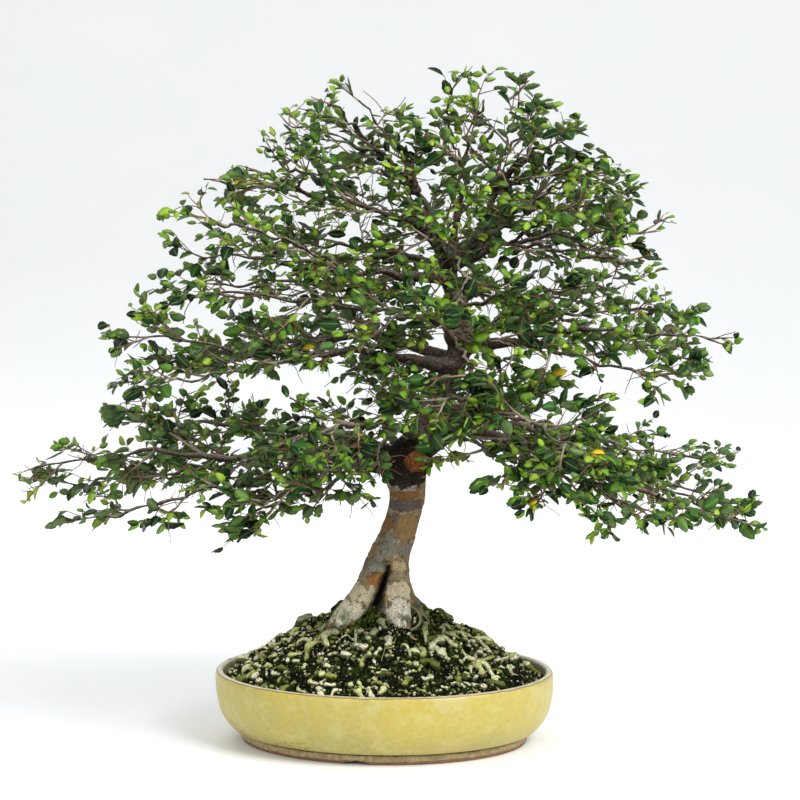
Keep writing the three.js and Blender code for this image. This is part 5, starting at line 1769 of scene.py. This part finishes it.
# %% Leaf green
leaf_green, tree, shader, place = new_material("elm_leaf_green")
dull(shader, 0.18)
youth = attribute(tree, "youth")
tone = attribute(tree, "tone")
below = attribute(tree, "underside")
blade = add(tree, "ShaderNodeUVMap", uv_map="blade").outputs[0]
across = calc(tree, "ABSOLUTE", calc(tree, "SUBTRACT", part_of(tree, blade, 0), 0.5))
veins = calc(tree, "SUBTRACT", part_of(tree, blade, 1), times(tree, across, 0.55))
veins = calc(tree, "ABSOLUTE", calc(tree, "SINE", times(tree, veins, 34.0)))
veins = fade(tree, veins, 0.0, 0.28, 1.0, 0.0)
midrib = fade(tree, across, 0.012, 0.035, 1.0, 0.0)
mature = ramp(tree, tone, [
    (0.0, srgb(5, 22, 13)), (0.35, srgb(15, 47, 24)), (0.7, srgb(43, 88, 34)), (1.0, srgb(86, 131, 43))])
fresh = mix(tree, tone, srgb(104, 156, 34), srgb(168, 200, 62))
green = mix(tree, fade(tree, youth, 0.25, 0.85), mature, fresh)
green = mix(tree, calc(tree, "GREATER_THAN", youth, 1.5), green, srgb(230, 202, 40))
green = mix(tree, times(tree, below, 0.4), green, srgb(132, 156, 96))
marks = calc(tree, "MAXIMUM", midrib, times(tree, veins, 0.35))
green = mix(tree, times(tree, marks, 0.5), green, srgb(150, 178, 84))
blotch = use(tree, clouds, place=place, size=0.006, low=0.35, high=0.65).outputs[0]
green = mix(tree, times(tree, blotch, 0.16), green, srgb(26, 50, 22))
dress(tree, shader, green, fade(tree, below, 0.0, 1.0, 0.4, 0.6))
bump(tree, shader, times(tree, marks, -1.0), 0.0002)
print("material:", leaf_green.name)

# %% The shape of a leaf
# Teeth on each side, and the stalk's size as shares of the leaf's length
TEETH = 3
STALK_LENGTH = 0.1
STALK_RADIUS = 0.014
# The highest value of the curve that gives the blade its width
WIDTH_PEAK = 0.396


def leaf_shape(half_width, fold, droop, tooth):
    """A leaf one unit long that grows along +X and faces +Z."""
    def width(s):
        """Half the blade's width at a share of its length."""
        return half_width * (s ** 0.62 * (1 - s) ** 0.72) / WIDTH_PEAK

    def bent(x, y, z):
        """Folds the blade along its midrib and lets its tip droop."""
        return (x, y * math.cos(fold), z + abs(y) * math.sin(fold) - droop * x * x)

    start = 1 - STALK_LENGTH
    rib = [STALK_LENGTH + start * k / (TEETH + 1) for k in range(1, TEETH + 1)]
    vertices = [bent(STALK_LENGTH, 0, 0), bent(1, 0, 0)]
    vertices += [bent(x, 0, 0.012) for x in rib] + [bent(x, 0, -0.012) for x in rib]
    border = []
    for k in range(TEETH):
        low = (k + 0.30) / (TEETH + 0.35)
        high = (k + 1.0) / (TEETH + 0.35)
        border.append((STALK_LENGTH + start * low, width(low) * (1 - tooth)))
        border.append((STALK_LENGTH + start * high, width(high) * (1 + tooth)))
    sides = {}
    for way in (1, -1):
        sides[way] = range(len(vertices), len(vertices) + len(border))
        vertices += [bent(x, way * y, 0) for x, y in border]
    faces, under = [], []
    for way in (1, -1):
        edge = [0, *sides[way], 1]
        for layer in (0, 1):
            ribs = [0, *range(2 + layer * TEETH, 2 + (layer + 1) * TEETH), 1]
            skin = [(ribs[0], edge[1], ribs[1])]
            for k in range(1, TEETH + 1):
                skin.append((ribs[k], edge[2 * k - 1], edge[2 * k]))
                last = edge[2 * k + 1]
                tip = (ribs[k + 1],) if k < TEETH else ()
                skin.append((ribs[k], edge[2 * k], last, *tip))
            for face in skin:
                faces.append(face if (way > 0) == (layer == 1) else face[::-1])
                under.append(layer)
    base = len(vertices)
    for x, radius in ((0, STALK_RADIUS * 1.2), (STALK_LENGTH * 1.3, STALK_RADIUS * 0.8)):
        vertices += [(x, radius * math.cos(t), radius * math.sin(t) - 0.004) for t in (0.5, 2.6, 4.7)]
    for k in range(3):
        after = (k + 1) % 3
        faces.append((base + k, base + 3 + k, base + 3 + after, base + after))
    faces += [(base, base + 1, base + 2), (base + 5, base + 4, base + 3)]
    under += [0] * 5
    mesh = new_mesh("leaf", vertices, faces)
    store(mesh, "underside", under, domain="FACE")
    layer = mesh.uv_layers.new(name="blade")
    for loop in mesh.loops:
        x, y, _ = vertices[loop.vertex_index]
        layer.data[loop.index].uv = (0.5 + y / (2 * half_width), x)
    return mesh


leaf_shapes = shape_box("leaf_shapes", [
    leaf_shape(0.30, 0.40, 0.10, 0.05), leaf_shape(0.26, 0.24, -0.06, 0.07),
    leaf_shape(0.32, 0.50, 0.20, 0.05), leaf_shape(0.28, 0.12, 0.04, 0.08)])

# %% The tree that sets leaves on twigs
leafing, given, result = new_group(
    "Leaves on twigs", "GeometryNodeTree",
    [("Places", "Geometry", None), ("Shapes", "Collection", None), ("Seed", "Int", 1),
     ("Finish", "Material", None)],
    [("Leaves", "Geometry")])
points_to = stored(leafing, "points_to", "FLOAT_VECTOR")
faces_to = stored(leafing, "faces_to", "FLOAT_VECTOR")
size = stored(leafing, "size")
turned = add(leafing, "FunctionNodeAxesToRotation", {0: points_to, 1: faces_to}, primary_axis="X",
             secondary_axis="Z")
shapes = add(leafing, "GeometryNodeCollectionInfo", {0: given["Shapes"], 1: True, 2: True})
most = len(leaf_shapes.objects) - 1
pick = add(leafing, "FunctionNodeRandomValue", {4: 0, 5: most, 8: given["Seed"]}, data_type="INT")
copies = add(leafing, "GeometryNodeInstanceOnPoints",
             {"Points": given["Places"], "Instance": shapes.outputs[0], "Pick Instance": True,
              "Instance Index": pick.outputs[2], "Rotation": turned.outputs[0], "Scale": size})
end_tree(leafing, copies.outputs[0], given, result)
print("leafing tree with", len(leafing.nodes), "nodes")

# %% [markdown]
# ## Growing the crown
# Now the rule runs for every limb and its boughs. Each limb gives two pieces: its twigs, swept by the
# same tree as the limbs, and its leaves, which stand for the plain sprays of that limb in the measured
# model.

# %% Shoots along a limb
# How far the side shoots hang or rise, in radians, for each layer of the crown
LIFTS = {"low": (-0.95, 0.62), "mid": (-0.75, 0.8), "upper": (-0.6, 0.9), "crown": (-0.6, 0.9),
         "apex": (-0.5, 0.9)}


def grow_along(crown, name, line, spread):
    """Side shoots all along a limb or bough, and a shoot at its tip."""
    rng = crown.rng
    ways = np.gradient(line, axis=0)
    side = 1
    k = round(0.14 * len(line))
    while k < len(line) - 1:
        share = k / len(line)
        way = unit(ways[k])
        side = -side
        lifted = rng.uniform(*LIFTS[name.split("_")[0]])
        out = unit(np.cross(way, UP)) * side * math.cos(lifted) + UP * math.sin(lifted)
        length = spread * (1.25 - 0.6 * share ** 2) * rng.uniform(0.6, 1.2)
        thick = 1.55 - 0.6 * share
        grown = crown.shoot(line[k], unit(way * rng.uniform(0.4, 1.0) + out), length, thick, 2, bare=0.4)
        crown.branches(*grown, every=2, first=2, lengths=(16, 34), thick=0.62, level=3, rise=(-0.5, 1.15))
        crown.spurs(*grown)
        k += rng.choice((4, 5, 6))
    tip = crown.shoot(line[-1], unit(ways[-1]), 24, 0.8, 2)
    crown.branches(*tip, every=1, first=1, lengths=(14, 26), thick=0.5, level=3, rise=(-0.4, 1.0))


print("layers of the crown:", *LIFTS)


# %% Twigs and leaves of every limb
def leaf_piece(name, leaves, seed):
    """All leaves of a limb as one piece."""
    places, points_to, faces_to, sizes, youths, tones = zip(*leaves)
    mesh = new_mesh(name, places, [])
    store(mesh, "points_to", points_to, "FLOAT_VECTOR")
    store(mesh, "faces_to", faces_to, "FLOAT_VECTOR")
    for label, values in (("size", sizes), ("youth", youths), ("tone", tones)):
        store(mesh, label, values)
    return run_nodes(link_mesh(name + "_places", mesh), name, leafing, shapes=leaf_shapes, seed=seed,
                     finish=leaf_green)


leaf_count = 0
for seed, (name, _, spread, _, _) in enumerate(LIMBS):
    crown = Crown(random.Random(100 + seed))
    grow_along(crown, name, routes[name], spread)
    for (parent, _, bough_spread, _), line in zip(BOUGHS, bough_routes):
        if parent == name:
            grow_along(crown, name, line, bough_spread)
    twigs = crown.lines.piece(f"{name}_twigs", 4, twig_bark)
    finish_piece(twigs, "bark")
    leaves = leaf_piece(f"{name}_leaves", crown.leaves, seed)
    finish_piece(leaves, "leaf", *[node for node in frame["nodes"] if node.startswith(f"{name}_spray_")])
    leaf_count += len(crown.leaves)
empty_box(leaf_shapes)
print("leaves:", leaf_count)

# %% [markdown]
# ## The last look
# The last cell counts the triangles of all the meshes in the scene.

# %% Triangles in all
total = sum(triangles(thing) for thing in scene.objects if thing.type == "MESH")
print("triangles in all:", total)
